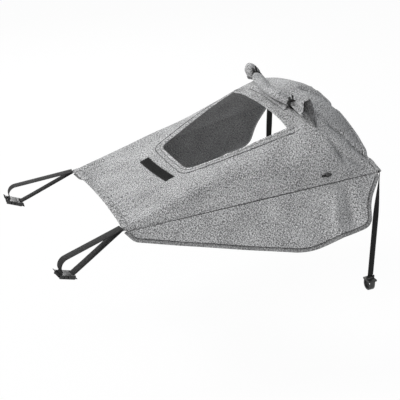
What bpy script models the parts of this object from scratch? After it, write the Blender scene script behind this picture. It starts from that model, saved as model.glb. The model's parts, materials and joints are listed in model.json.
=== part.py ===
"""Sun shade for a pram: a cloth panel with a roll-up window, two side wings and its straps.

Lengths are metres, angles are degrees. +X runs from the front hem towards the hood,
+Y towards the left side of the parent who pushes, +Z up. The origin is the seat on the
hood: the underside of the cloth at its crown, over the hood's bow.
The sizes below are measured in the shade's own lengths: x from the front hem,
z over the front corners. Everything is moved to the seat at the end.
"""
import math

import bmesh
import bpy
from mathutils import Matrix, Vector

# Cloth, webbing and the clearances between pieces
CLOTH = 0.0012
WEBBING = 0.0015
ELASTIC = 0.0012
GAP = 0.0003
FOLD_GAP = 0.00025

# The panel seen from above, front corner to rear corner
LENGTH = 0.582
FRONT_HALF = 0.160
FRONT_HOLLOW = 0.008
REAR_HOLLOW = 0.025
REAR_SIDE_HOLLOW = 0.010
REAR_TURN = 0.7
REAR_DIP = 0.004
FOLD_FRONT = (0.163, -0.010)
FOLD_REAR = (0.249, 0.053)

# The window
WINDOW_FRONT = 0.183
WINDOW_REAR = 0.4215
WINDOW_FRONT_HALF = 0.077
WINDOW_MID = 0.304
WINDOW_MID_HALF = 0.116
WINDOW_REAR_HALF = 0.140
WINDOW_FRONT_CORNER = 0.022
WINDOW_REAR_CORNER = 0.006

# The cloth's cross-sections: stations as shares of the length, with what each one measures
BOW_X = 0.450
CROWN_HEIGHTS = (
    (0.000, 0.000), (0.321, 0.056), (0.515, 0.103), (0.703, 0.160), (0.773, 0.186),
    (0.842, 0.197), (0.902, 0.190), (0.971, 0.168), (1.031, 0.150),
)
RIDGE_HALVES = (
    (0.000, 0.160), (0.321, 0.157), (0.515, 0.157), (0.722, 0.170), (0.859, 0.180), (1.010, 0.140),
)
RIDGE_HEIGHTS = (
    (0.000, 0.000), (0.321, 0.062), (0.515, 0.101), (0.722, 0.155),
    (0.808, 0.168), (0.893, 0.155), (1.010, 0.118),
)
ROUNDNESS = ((0.000, 0.10), (0.321, 0.25), (0.515, 0.45), (0.703, 0.80), (1.031, 0.90))
RIDGE_SOFTNESS = 0.8

# Hems and trim
HEM_WIDTH = 0.014
HEM_THICK = 0.005
HEM_WALL = 0.001
HEM_AROUND = 8
HEM_ELASTIC = 0.008
BAND_WIDTH = 0.017
BAND_THICK = 0.006
BAND_ELASTIC = 0.010
BAND_RUCHE = 0.06
REAR_HEM_WIDTH = 0.010
REAR_HEM_THICK = 0.005
REAR_ELASTIC = 0.005
REAR_HEM_END = 0.985
REAR_SPANS = 10
BINDING_WIDTH = 0.004
BINDING_THICK = 0.0026
HOOK_STRIP_X = 0.144
HOOK_STRIP_Y = -0.008
HOOK_STRIP_LENGTH = 0.130
HOOK_STRIP_SKEW = 3.4
HOOK_STRIP_WIDTH = 0.022
HOOK_STRIP_THICK = 0.001

# The wings: places along the fold line and depths below it
WING_FLARE_LEFT = 13.0
WING_FLARE_RIGHT = 45.0
WING_START = 0.004
WING_FRONT_ALONG = 0.020
WING_FRONT_DEPTH = 0.026
WING_FRONT_ROUND = 0.010
WING_PEAK_ALONG = LENGTH * 0.639
WING_PEAK_DEPTH = 0.138
WING_PEAK_ROUND = 0.035
WING_BACK_ALONG = LENGTH - 0.053
WING_BACK_DEPTH = 0.113
WING_BACK_ROUND = 0.022
WING_NOTCH_ALONG = LENGTH - 0.038
WING_NOTCH_DEPTH = 0.058
WING_NOTCH_ROUND = 0.022
WING_END_ALONG = LENGTH - 0.001
WING_END_DEPTH = 0.010
WING_END_ROUND = 0.006
WING_END_GAP = 0.0015
WING_HEM = 0.008
WING_HEM_THICK = 0.0024
WING_BILLOW = 0.005
WING_VALLEY = 0.009
WING_VALLEY_ALONG = LENGTH * 0.782
WING_VALLEY_REACH = 0.020

# The rolled window flap and what ties it; the left end stays a fat lobe, the right end fans out
FLAP_X = 0.434
FLAP_BOW = 0.0155
FLAP_SKEW = 0.0065
FLAP_TIE = 0.094
FLAP_ROLL = 0.0175
FLAP_PINCH = 0.0105
FLAP_WALL = 0.0025
FLAP_REST = 0.0008
LOBE_OUT = 0.026
LOBE_WIDE = 0.018
LOBE_TALL = 0.022
LOBE_END_OUT = 0.046
LOBE_END_SHARE = 0.8
FAN_CENTRE = (0.4615, -0.157, 0.163)
FAN_BULGE = 0.008
FAN_HALF = (0.0195, 0.0215, 0.0245)
FAN_THICK = 0.009
LOOP_STRIP_LENGTH = 0.126
LOOP_STRIP_WIDTH = 0.020
TIE_WIDTH = 0.010
TIE_TAIL = 0.014
TIE_TAIL_WIDTH = 0.007
TIE_PEG = 0.0024
BEAD_RADIUS = 0.0033
BEAD_LENGTH = 0.008
BEAD_BORE = 0.0018

# Toggles and their cord loops
TOGGLE_RADIUS = 0.0042
TOGGLE_LENGTH = 0.010
TOGGLE_BORE = 0.0026
WING_TOGGLE_X = 0.456
WING_TOGGLE_UP = 0.020
LOOP_CORD = 0.0018
LOOP_LENGTH = 0.022

# The handle straps and the round handlebar that they go around
STRAP_WIDTH = 0.020
STRAP_SPREAD = 8.0
STRAP_ROOT = 0.0018
STRAP_TUCK = 0.0016
BAR_REACH_LEFT = 0.131
BAR_DROP_LEFT = 0.037
BAR_REACH_RIGHT = 0.124
BAR_DROP_RIGHT = 0.048
BAR_RADIUS = 0.017
BAR_CLEAR = 0.0008
BAR_WRAP_END = -28.0

# The side-release buckle, measured along it from its shoulder
BUCKLE_WIDTH = 0.028
BUCKLE_THICK = 0.0085
BUCKLE_WALL = 0.0017
BUCKLE_CLEAR = 0.0008
BUCKLE_TILT = 20.0
BUCKLE_SHIFT = 0.006
SOCKET_LENGTH = 0.024
SOCKET_DEPTH = 0.0155
PLUG_BASE = 0.005
SLOT = 0.0036
CROSSBAR = 0.003
WRAP_RADIUS = 0.0029
PRONG_WIDTH = 0.004
PRONG_THICK = 0.0032
ARM_WIDTH = 0.0022
ARM_SET = 0.0078
ARM_LENGTH = 0.0135
BUTTON_START = 0.005
BUTTON_PROUD = 0.0011
BUTTON_SLOPE = 0.0015
TAIL_LENGTH = 0.009

# The rear straps and their hooks
REAR_STRAP_LENGTH = 0.268
REAR_STRAP_WIDTH = 0.015
REAR_STRAP_TURN = 58.0
REAR_STRAP_TWIST = 0.110
REAR_STRAP_LEAN = 0.008
HOOK_TUBE = 0.020
HOOK_STOCK = 0.004
HOOK_WIDTH = 0.012
HOOK_BAR = 0.0035
HOOK_STEM = 0.012
HOOK_TIP = 0.006

ROLL_AROUND = 12
SIDES = (("left", 1), ("right", -1))
FINISHES = {
    "heather_cloth": ((0.36, 0.36, 0.37, 1.0), 0.95),
    "binding_cloth": ((0.28, 0.27, 0.27, 1.0), 0.95),
    "black_webbing": ((0.03, 0.03, 0.035, 1.0), 0.85),
    "elastic": ((0.05, 0.05, 0.055, 1.0), 0.90),
    "black_plastic": ((0.02, 0.02, 0.022, 1.0), 0.45),
    "grip_tape": ((0.025, 0.025, 0.028, 1.0), 0.98),
}


def clear_scene():
    for item in list(bpy.data.objects):
        bpy.data.objects.remove(item, do_unlink=True)


def finish_of(name):
    """The Principled material of one finish, made once."""
    material = bpy.data.materials.get(name)
    if material is None:
        material = bpy.data.materials.new(name)
        material.use_nodes = True
        colour, rough = FINISHES[name]
        shader = material.node_tree.nodes["Principled BSDF"]
        shader.inputs["Base Color"].default_value = colour
        shader.inputs["Roughness"].default_value = rough
        shader.inputs["Metallic"].default_value = 0.0
    return material


def through(stations, x):
    """A smooth height at x, through (place, height) stations, with no overshoot between them."""
    places = [place for place, _ in stations]
    heights = [height for _, height in stations]
    steps = [b - a for a, b in zip(places, places[1:])]
    slopes = [(b - a) / step for a, b, step in zip(heights, heights[1:], steps)]
    tangents = [slopes[0]]
    for i in range(1, len(slopes)):
        before, after = slopes[i - 1], slopes[i]
        turn = before * after <= 0.0
        blend = 0.0 if turn else (steps[i - 1] + steps[i]) / (steps[i - 1] / before + steps[i] / after)
        tangents.append(blend)
    tangents.append(slopes[-1])
    i = 0
    while i < len(steps) - 1 and x > places[i + 1]:
        i += 1
    f = (x - places[i]) / steps[i]
    rise = (1 + 2 * f) * (1 - f) ** 2 * heights[i] + f * (1 - f) ** 2 * steps[i] * tangents[i]
    return rise + f * f * (3 - 2 * f) * heights[i + 1] + f * f * (f - 1) * steps[i] * tangents[i + 1]


def crown(x):
    """The cloth's height along its middle."""
    return through(CROWN_HEIGHTS, x / LENGTH)


def ridge(x):
    """The corner that the rounded cross-section turns around, as (y, z)."""
    return Vector((through(RIDGE_HALVES, x / LENGTH), through(RIDGE_HEIGHTS, x / LENGTH)))


def roundness(x):
    """How round the cross-section is: 0 a sharp ridge, 1 a full arch."""
    return through(ROUNDNESS, x / LENGTH)


def fold(x):
    """The straight line where the wing folds, as (y, z)."""
    return Vector(FOLD_FRONT).lerp(Vector(FOLD_REAR), x / LENGTH)


def cross_section(x, t):
    """(y, z) of the cloth at a station, t from 0 on the middle to 1 on the fold line."""
    middle = Vector((0.0, crown(x)))
    corner = ridge(x)
    side = fold(x)
    k = roundness(x)
    inner = corner.lerp(middle, k * RIDGE_SOFTNESS)
    outer = corner.lerp(side, k * RIDGE_SOFTNESS)
    turn_start = 0.70 - 0.35 * k
    turn_end = 0.70 + 0.20 * k
    if t < turn_start:
        return middle.lerp(inner, t / turn_start)
    if t < turn_end:
        q = (t - turn_start) / (turn_end - turn_start)
        return inner * (1 - q) ** 2 + corner * (2 * q * (1 - q)) + outer * q * q
    return outer.lerp(side, (t - turn_end) / (1 - turn_end))


def cloth(x, t):
    """A point of the cloth's middle surface; t is negative on the right side."""
    y, z = cross_section(x, abs(t))
    return Vector((x, math.copysign(y, t), z))


def share_at(x, y):
    """The cross-section share t whose point lies at y."""
    low, high = 0.0, 1.0
    for _ in range(30):
        middle = (low + high) / 2
        if cross_section(x, middle)[0] < abs(y):
            low = middle
        else:
            high = middle
    return math.copysign(low, y)


def over(x, y, lift=0.0):
    """The point of the cloth over (x, y), lifted along the cloth's normal."""
    step = 0.001
    here = cloth(x, share_at(x, y))
    if lift == 0.0:
        return here
    ahead = cloth(x + step, share_at(x + step, y))
    aside = cloth(x, share_at(x, y + step))
    return here + (ahead - here).cross(aside - here).normalized() * lift


def front_edge(t):
    return FRONT_HOLLOW * (1 - t * t)


def rear_edge(t):
    """The rear hem's free edge: hollow in the middle, and again on each side near the corner."""
    t = abs(t)
    if t > REAR_TURN:
        share = (t - REAR_TURN) / (1 - REAR_TURN)
        return LENGTH - REAR_SIDE_HOLLOW * (1 - share) - REAR_DIP * math.sin(math.pi * share)
    return LENGTH - REAR_SIDE_HOLLOW - (REAR_HOLLOW - REAR_SIDE_HOLLOW) * (1 - (t / REAR_TURN) ** 2)


SEAT = Vector((BOW_X, 0.0, crown(BOW_X) - CLOTH / 2))


def window_half(x):
    """Half the window's width at x."""
    return through((
        (WINDOW_FRONT, WINDOW_FRONT_HALF),
        (WINDOW_MID, WINDOW_MID_HALF),
        (WINDOW_REAR, WINDOW_REAR_HALF),
    ), x)


def curve_turn(before, corner, after, radius, count):
    """Points around a corner, starting and ending at radius from it."""
    start = corner + (before - corner).normalized() * radius
    end = corner + (after - corner).normalized() * radius
    points = []
    for i in range(count + 1):
        q = i / count
        points.append(start * (1 - q) ** 2 + corner * (2 * q * (1 - q)) + end * q * q)
    return points


def resample(path, count):
    """count + 1 points at equal distances along a path."""
    lengths = [0.0]
    for a, b in zip(path, path[1:]):
        lengths.append(lengths[-1] + (b - a).length)
    points = []
    j = 0
    for i in range(count + 1):
        target = lengths[-1] * i / count
        while j < len(path) - 2 and lengths[j + 1] < target:
            j += 1
        f = (target - lengths[j]) / max(lengths[j + 1] - lengths[j], 1e-9)
        points.append(path[j].lerp(path[j + 1], min(max(f, 0.0), 1.0)))
    return points


def window_outline(inset=0.0):
    """The left half of the window's edge from above, middle of the front to middle of the rear.

    Returns the three spans of it: half the front edge, the side, half the rear edge.
    """
    front = WINDOW_FRONT + inset
    rear = WINDOW_REAR - inset
    side = []
    steps = 24
    for i in range(steps + 1):
        x = front + (rear - front) * i / steps
        side.append(Vector((x, window_half(x) - inset)))
    front_middle = Vector((front, 0.0))
    rear_middle = Vector((rear, 0.0))
    front_turn = curve_turn(front_middle, side[0], side[2], WINDOW_FRONT_CORNER, 8)
    rear_turn = curve_turn(side[-2], side[-1], rear_middle, WINDOW_REAR_CORNER, 4)
    inner_side = [p for p in side if front_turn[-1].x < p.x < rear_turn[0].x]
    return (
        [front_middle] + front_turn[:5],
        front_turn[4:] + inner_side + rear_turn[:3],
        rear_turn[2:] + [rear_middle],
    )


def mesh_object(name, points, faces, finish, pivot=None, parent=None):
    """One object from points in the shade's own frame, its origin on the pivot."""
    pivot = Vector((0.0, 0.0, 0.0)) if pivot is None else Vector(pivot)
    mesh = bpy.data.meshes.new(name)
    mesh.from_pydata([tuple(Vector(p) - pivot) for p in points], [], faces)
    work = bmesh.new()
    work.from_mesh(mesh)
    bmesh.ops.recalc_face_normals(work, faces=work.faces)
    work.to_mesh(mesh)
    work.free()
    mesh.materials.append(finish_of(finish))
    piece = bpy.data.objects.new(name, mesh)
    bpy.context.scene.collection.objects.link(piece)
    if parent is None:
        piece.location = pivot - SEAT
    else:
        piece.parent = parent
        piece.location = pivot
    mesh.shade_smooth()
    mesh.set_sharp_from_angle(angle=math.radians(40))
    return piece


def sheet_object(name, points, faces, finish, pivot=None):
    """A cloth sheet, thickened both ways from its middle surface."""
    piece = mesh_object(name, points, faces, finish, pivot)
    thicken = piece.modifiers.new("cloth thickness", "SOLIDIFY")
    thicken.thickness = CLOTH
    thicken.offset = 0.0
    return piece


def loft(rings, inner=None):
    """Points and faces of a solid through rings of points, or of a tube with inner rings."""
    around = len(rings[0])
    points = [p for ring in rings for p in ring]
    faces = []

    def skin(start, flip):
        for i in range(len(rings) - 1):
            for j in range(around):
                a = start + i * around + j
                b = start + i * around + (j + 1) % around
                quad = (a, b, b + around, a + around)
                faces.append(tuple(reversed(quad)) if flip else quad)

    skin(0, False)
    last = (len(rings) - 1) * around
    if inner is None:
        faces.append(tuple(reversed(range(around))))
        faces.append(tuple(range(last, last + around)))
        return points, faces
    shift = len(points)
    points += [p for ring in inner for p in ring]
    skin(shift, True)
    for start, flip in ((0, False), (last, True)):
        for j in range(around):
            a = start + j
            b = start + (j + 1) % around
            quad = (a, a + shift, b + shift, b)
            faces.append(tuple(reversed(quad)) if flip else quad)
    return points, faces


def oval(centre, wide, tall, half_wide, half_tall, count=8):
    """A ring of points: an oval with its axes along wide and tall."""
    ring = []
    for i in range(count):
        angle = 2 * math.pi * (i + 0.5) / count
        ring.append(centre + wide * (half_wide * math.cos(angle)) + tall * (half_tall * math.sin(angle)))
    return ring


def slab(centre, wide, tall, half_wide, half_tall):
    """A ring of four points: a flat rectangle."""
    ring = []
    for a, b in ((-1, -1), (1, -1), (1, 1), (-1, 1)):
        ring.append(centre + wide * (a * half_wide) + tall * (b * half_tall))
    return ring


def frames_along(path, up_of):
    """(point, across, up) at each point of a path, up_of giving the rough up direction."""
    frames = []
    for i, point in enumerate(path):
        run = (path[min(i + 1, len(path) - 1)] - path[max(i - 1, 0)]).normalized()
        up = up_of(i)
        across = run.cross(up).normalized()
        frames.append((point, across, across.cross(run).normalized()))
    return frames


def cloth_up(x, y):
    return (over(x, y, 1.0) - over(x, y)).normalized()


def hem_tube(name, plan_path, width, thick, finish, ruche=0.0):
    """A hollow casing along a plan path on the cloth; ruche makes every other ring fuller."""
    path = [over(x, y) for x, y in plan_path]
    frames = frames_along(path, lambda i: cloth_up(*plan_path[i]))
    outer, inner = [], []
    corner = 1.0 / math.cos(math.pi / HEM_AROUND)
    for i, (point, across, up) in enumerate(frames):
        full = 1.0 + ruche * (1 if i % 2 else -1)
        wide = width / 2 * corner
        tall = thick / 2 * corner * full
        outer.append(oval(point, across, up, wide, tall, HEM_AROUND))
        inner.append(oval(point, across, up, wide - HEM_WALL, tall - HEM_WALL, HEM_AROUND))
    points, faces = loft(outer, inner)
    return mesh_object(name, points, faces, finish)


def flat_band(name, plan_path, width, thick, finish):
    """A flat band along a plan path on the cloth."""
    path = [over(x, y) for x, y in plan_path]
    frames = frames_along(path, lambda i: cloth_up(*plan_path[i]))
    rings = [slab(point, across, up, width / 2, thick / 2) for point, across, up in frames]
    points, faces = loft(rings)
    return mesh_object(name, points, faces, finish)


def spread(half, count):
    """count + 1 places from -half to half."""
    return [-half + 2 * half * i / count for i in range(count + 1)]


def panel_edge_spans(front_count, side_count, rear_count):
    """The left half of the panel's outer edge as (x, t) pairs, in the window's three spans."""
    front = []
    for i in range(front_count + 1):
        t = i / front_count
        front.append((front_edge(t) + HEM_WIDTH + GAP, t))
    start = front[-1][0]
    end = rear_edge(1.0) - REAR_HEM_WIDTH - GAP
    side = [(start + (end - start) * i / side_count, 1.0) for i in range(side_count + 1)]
    rear = []
    for i in range(rear_count + 1):
        t = 1.0 - i / rear_count
        rear.append((rear_edge(t) - REAR_HEM_WIDTH - GAP, t))
    return front, side, rear


def build_top_panel():
    """The panel as rings of cloth between the window's edge and the outer edge."""
    front_count, side_count, rear_count, ring_count = 8, 15, REAR_SPANS, 6
    inner = []
    counts = (front_count, side_count, rear_count)
    for span, count in zip(window_outline(), counts):
        inner += resample(span, count)[:-1]
    inner.append(Vector((WINDOW_REAR, 0.0)))
    outer = []
    for span in panel_edge_spans(*counts):
        outer += span[:-1]
    outer.append((rear_edge(0.0) - REAR_HEM_WIDTH - GAP, 0.0))
    left = [((p.x, share_at(p.x, p.y) if p.y > 0 else 0.0), edge) for p, edge in zip(inner, outer)]
    # a closed round of spokes: the left half, then the right half mirrored
    spokes = left + [((a[0], -a[1]), (b[0], -b[1])) for a, b in reversed(left[1:-1])]
    points, faces = [], []
    for (x0, t0), (x1, t1) in spokes:
        for k in range(ring_count + 1):
            f = k / ring_count
            x = x0 + (x1 - x0) * f
            t = t0 + (t1 - t0) * f
            t = math.copysign(min(abs(t), 1.0), t)
            point = cloth(x, t)
            if abs(t) >= 1.0:
                point += (cloth(x, t * 0.98) - point).normalized() * FOLD_GAP
            points.append(point)
    row = ring_count + 1
    for i in range(len(spokes)):
        n = (i + 1) % len(spokes)
        for k in range(ring_count):
            faces.append((i * row + k, n * row + k, n * row + k + 1, i * row + k + 1))
    return sheet_object("top_panel", points, faces, "heather_cloth")


def build_hems():
    """The front hem, the ruched band behind the window and the rear hem, each with its elastic."""
    half = FRONT_HALF - HEM_THICK / 2
    front = [(front_edge(y / FRONT_HALF) + HEM_WIDTH / 2, y) for y in spread(half, 20)]
    hem_tube("front_hem", front, HEM_WIDTH, HEM_THICK, "heather_cloth")
    flat_band("front_elastic", front, HEM_ELASTIC, ELASTIC, "elastic")
    band_x = WINDOW_REAR - GAP - BAND_WIDTH / 2
    half = window_half(band_x - BAND_WIDTH / 2) - GAP - 2 * CLOTH
    band = [(band_x, y) for y in spread(half, 22)]
    hem_tube("ruched_band", band, BAND_WIDTH - 3 * GAP, BAND_THICK, "heather_cloth", ruche=BAND_RUCHE)
    flat_band("band_elastic", band, BAND_ELASTIC, ELASTIC, "elastic")
    rear = []
    half = [i / REAR_SPANS for i in range(REAR_SPANS)] + [REAR_HEM_END]
    for t in [-t for t in reversed(half[1:])] + half:
        x = rear_edge(t) - REAR_HEM_WIDTH / 2
        rear.append((x, cloth(x, t).y))
    hem_tube("rear_hem", rear, REAR_HEM_WIDTH - 2 * GAP, REAR_HEM_THICK, "heather_cloth")
    flat_band("rear_elastic", rear, REAR_ELASTIC, ELASTIC, "elastic")


def build_window_binding():
    """The bound rim around the window's front and sides, up to the ruched band."""
    inset = GAP + BINDING_WIDTH / 2 + CLOTH / 4
    stop = WINDOW_REAR - 2 * GAP - BAND_WIDTH
    front, side, _ = window_outline(inset)
    half = front[:-1] + [p for p in side if p.x < stop - 0.004]
    half.append(Vector((stop, window_half(stop) - inset)))
    half = resample(half, 22)
    plan = [(p.x, -p.y) for p in reversed(half)] + [(p.x, p.y) for p in half[1:]]
    path = [over(x, y) for x, y in plan]
    frames = frames_along(path, lambda i: cloth_up(*plan[i]))
    rings = [oval(p, across, up, BINDING_WIDTH / 2, BINDING_THICK / 2, 6) for p, across, up in frames]
    points, faces = loft(rings)
    mesh_object("window_binding", points, faces, "binding_cloth")


def build_hook_strip():
    """The strip of hook tape in front of the window, which holds the flap when it is shut."""
    lift = CLOTH / 2 + GAP + HOOK_STRIP_THICK / 2
    skew = math.tan(math.radians(HOOK_STRIP_SKEW))
    columns, rows = 12, 2
    points, faces = [], []
    for i in range(columns + 1):
        y = HOOK_STRIP_Y + HOOK_STRIP_LENGTH * (i / columns - 0.5)
        for j in range(rows + 1):
            x = HOOK_STRIP_X + HOOK_STRIP_WIDTH * (j / rows - 0.5) - skew * (y - HOOK_STRIP_Y)
            points.append(over(x, y, lift))
    row = rows + 1
    for i in range(columns):
        for j in range(rows):
            faces.append((i * row + j, i * row + j + 1, (i + 1) * row + j + 1, (i + 1) * row + j))
    piece = sheet_object("hook_strip", points, faces, "grip_tape")
    piece.modifiers[0].thickness = HOOK_STRIP_THICK


def fold_line(side):
    """(start, direction, outward, inner normal) of a wing's fold line; the wing flares outward."""
    start = Vector((0.0, side * FOLD_FRONT[0], FOLD_FRONT[1]))
    end = Vector((LENGTH, side * FOLD_REAR[0], FOLD_REAR[1]))
    along = (end - start).normalized()
    flare = math.radians(WING_FLARE_LEFT if side > 0 else WING_FLARE_RIGHT)
    out = Vector((0.0, side * math.sin(flare), -math.cos(flare)))
    out = (out - along * out.dot(along)).normalized()
    normal = along.cross(out) * -side
    return start, along, out, normal.normalized()


def fold_axis(side):
    """A point and the direction of the fold's hinge, on the outer face of the cloth."""
    start, along, _, normal = fold_line(side)
    return start - normal * (CLOTH / 2), along


def wing_rim(count):
    """Stations around the wing's edge from front to rear, as (place, inward) pairs."""
    corners = (
        (Vector((WING_START, WING_END_GAP)), 0.0),
        (Vector((WING_FRONT_ALONG, WING_FRONT_DEPTH)), WING_FRONT_ROUND),
        (Vector((WING_PEAK_ALONG, WING_PEAK_DEPTH)), WING_PEAK_ROUND),
        (Vector((WING_BACK_ALONG, WING_BACK_DEPTH)), WING_BACK_ROUND),
        (Vector((WING_NOTCH_ALONG, WING_NOTCH_DEPTH)), WING_NOTCH_ROUND),
        (Vector((WING_END_ALONG, WING_END_DEPTH)), WING_END_ROUND),
        (Vector((WING_END_ALONG, WING_END_GAP)), 0.0),
    )
    path = []
    for i, (corner, radius) in enumerate(corners):
        if radius == 0.0:
            path.append(corner)
        else:
            path += curve_turn(corners[i - 1][0], corner, corners[i + 1][0], radius, 6)
    path = resample(path, count)
    rim = [(path[0], Vector((1.0, 0.0)))]
    for i in range(1, count):
        run = (path[i + 1] - path[i - 1]).normalized()
        rim.append((path[i], Vector((run.y, -run.x))))
    rim.append((path[-1], Vector((-1.0, 0.0))))
    return rim


def wing_point(side, along, depth, lift=0.0):
    """A point of the wing's middle surface, with its billow and its one soft fold."""
    start, run, out, normal = fold_line(side)
    rise = min(depth / WING_PEAK_DEPTH, 1.0)
    billow = WING_BILLOW * math.sin(math.pi * min(max(along / LENGTH, 0.0), 1.0)) * math.sin(math.pi * rise)
    valley = WING_VALLEY * rise * math.exp(-((along - WING_VALLEY_ALONG) / WING_VALLEY_REACH) ** 2)
    return start + run * along + out * depth + normal * (billow - valley + lift)


def build_wing(name, side):
    """One wing: the cloth from the fold line out to its binding, and the binding."""
    pivot, _ = fold_axis(side)
    columns, rows = 40, 5
    rim = wing_rim(columns)
    edge = [place + inward * (WING_HEM + GAP) for place, inward in rim]
    points, faces = [], []
    for i, end in enumerate(edge):
        f = i / columns
        root = Vector((edge[0].x + (edge[-1].x - edge[0].x) * f, FOLD_GAP))
        for j in range(rows + 1):
            place = root.lerp(end, j / rows)
            points.append(wing_point(side, place.x, place.y))
    row = rows + 1
    for i in range(columns):
        for j in range(rows):
            faces.append((i * row + j, i * row + j + 1, (i + 1) * row + j + 1, (i + 1) * row + j))
    sheet_object(name + "_wing", points, faces, "heather_cloth", pivot)
    rings = []
    for place, inward in rim:
        ring = []
        for a, b in ((0, -1), (1, -1), (1, 1), (0, 1)):
            q = place + inward * (a * WING_HEM)
            ring.append(wing_point(side, q.x, q.y, b * WING_HEM_THICK / 2))
        rings.append(ring)
    points, faces = loft(rings)
    mesh_object(name + "_wing_binding", points, faces, "binding_cloth", pivot)


def roll_size(arc):
    """Half the roll's width at a distance from its middle."""
    tie_in = FLAP_TIE - TIE_WIDTH * 0.6
    return through((
        (0.0, FLAP_ROLL),
        (FLAP_TIE * 0.6, FLAP_ROLL * 0.97),
        (tie_in, FLAP_PINCH),
        (FLAP_TIE + TIE_WIDTH, FLAP_PINCH),
    ), min(abs(arc), FLAP_TIE + TIE_WIDTH * 0.6))


def arc_place(arc):
    """The y whose distance along the cloth from its middle is arc, at the roll's station."""
    steps = 60
    stride = 0.003
    reach = abs(arc)
    walked = 0.0
    last = over(FLAP_X, 0.0)
    for i in range(1, steps):
        here = over(FLAP_X, i * stride)
        run = (here - last).length
        if walked + run >= reach:
            return math.copysign((i - 1 + (reach - walked) / run) * stride, arc)
        walked += run
        last = here
    return math.copysign(steps * stride, arc)


def roll_frame(arc):
    """(centre, across, up) of the roll at a distance from its middle; it bows and skews rearward."""
    y = arc_place(arc)
    share = max(-1.2, min(arc / FLAP_TIE, 1.2))
    x = FLAP_X + FLAP_BOW * share ** 2 + FLAP_SKEW * share
    up = cloth_up(x, y)
    centre = over(x, y) + up * (CLOTH / 2 + FLAP_REST + ELASTIC + 1.5 * GAP + roll_size(arc))
    return centre, Vector((1.0, 0.0, 0.0)), up


def flap_pivot():
    """The seam that the rolled flap tips forward about, in front of the roll."""
    x = FLAP_X - FLAP_ROLL
    return Vector((x, 0.0, over(x, 0.0).z + BAND_THICK / 2))


def roll_rings(shrink):
    """The roll's rings from its right end to its left end, drawn in by shrink."""
    tie_in = FLAP_TIE - TIE_WIDTH * 0.6
    tie_out = FLAP_TIE + TIE_WIDTH * 0.6
    half = [tie_in * i / 6 for i in range(7)] + [tie_out]
    rings = []
    for arc in [-a for a in reversed(half[1:])] + half:
        centre, across, up = roll_frame(arc)
        size = roll_size(arc) - shrink
        rings.append(oval(centre, across, up, size, size, ROLL_AROUND))
    return fan_rings(shrink) + rings + lobe_rings(shrink)


def lobe_rings(shrink):
    """The left end: a fat lobe beyond its tie."""
    rings = []
    tie_out = FLAP_TIE + TIE_WIDTH * 0.6
    base, across, up = roll_frame(tie_out)
    along = across.cross(up).normalized()
    along *= math.copysign(1.0, along.y)
    profile = ((0.25, 0.60), (0.60, 0.92), (1.0, 1.0), (1.40, 0.95), (LOBE_END_OUT / LOBE_OUT, LOBE_END_SHARE))
    for reach, share in profile:
        wide = FLAP_PINCH + (LOBE_WIDE - FLAP_PINCH) * share
        tall = FLAP_PINCH + (LOBE_TALL - FLAP_PINCH) * share
        lift = tall - FLAP_PINCH
        centre = base + along * (LOBE_OUT * reach) + up * lift
        rings.append(oval(centre, across, up, wide - shrink, tall - shrink, ROLL_AROUND))
    return rings


def fan_rings(shrink):
    """The right end: the roll spreads from its tie to a flat open mouth."""
    tie_out = FLAP_TIE + TIE_WIDTH * 0.6
    base, across, up = roll_frame(-tie_out)
    mouth = Vector(FAN_CENTRE)
    wide_end = Vector(FAN_HALF)
    normal = cloth_up(mouth.x, mouth.y)
    thin = (normal - wide_end * (normal.dot(wide_end) / wide_end.length_squared)).normalized()
    rings = []
    for step in (1.0, 0.78, 0.56, 0.34, 0.16):
        centre = base.lerp(mouth, step) + up * (4 * step * (1 - step) * FAN_BULGE)
        wide = (across * FLAP_PINCH).lerp(wide_end, step ** 0.8)
        tall = (up * FLAP_PINCH).lerp(thin * FAN_THICK, step)
        wide *= 1.0 - shrink / wide.length
        tall *= 1.0 - shrink / tall.length
        ring = oval(centre, wide.normalized(), tall.normalized(), wide.length, tall.length, ROLL_AROUND)
        rings.append(ring)
    return rings


def build_flap():
    """The rolled window flap, the loop tape inside it, its ties and their toggles."""
    pivot = flap_pivot()
    points, faces = loft(roll_rings(0.0), roll_rings(FLAP_WALL))
    mesh_object("window_flap", points, faces, "heather_cloth", pivot)
    rings = []
    for arc in spread(LOOP_STRIP_LENGTH / 2, 8):
        centre, across, up = roll_frame(arc)
        wall = (roll_size(arc) - FLAP_WALL) * math.cos(math.pi / ROLL_AROUND) - 2 * GAP
        low = math.sqrt(wall ** 2 - (LOOP_STRIP_WIDTH / 2) ** 2) - HOOK_STRIP_THICK / 2
        rings.append(slab(centre - up * low, across, up, LOOP_STRIP_WIDTH / 2, HOOK_STRIP_THICK / 2))
    points, faces = loft(rings)
    mesh_object("flap_loop_strip", points, faces, "grip_tape", pivot)
    for name, side in SIDES:
        build_tie(name, side, pivot)


def box_points(centre, axes, halves):
    """Points and faces of a box along three axes."""
    points = []
    for a in (-1, 1):
        for b in (-1, 1):
            for c in (-1, 1):
                spot = centre + axes[0] * (a * halves[0]) + axes[1] * (b * halves[1])
                points.append(spot + axes[2] * (c * halves[2]))
    faces = [(0, 1, 3, 2), (4, 6, 7, 5), (0, 4, 5, 1), (2, 3, 7, 6), (0, 2, 6, 4), (1, 5, 7, 3)]
    return points, faces


def combine(piece, other, operation):
    """Join another object to a piece, or cut it away; the other one isn't built."""
    other.hide_render = True
    other.display_type = "WIRE"
    step = piece.modifiers.new(operation.lower() + " " + other.name, "BOOLEAN")
    step.operation = operation
    step.solver = "EXACT"
    step.object = other


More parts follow.
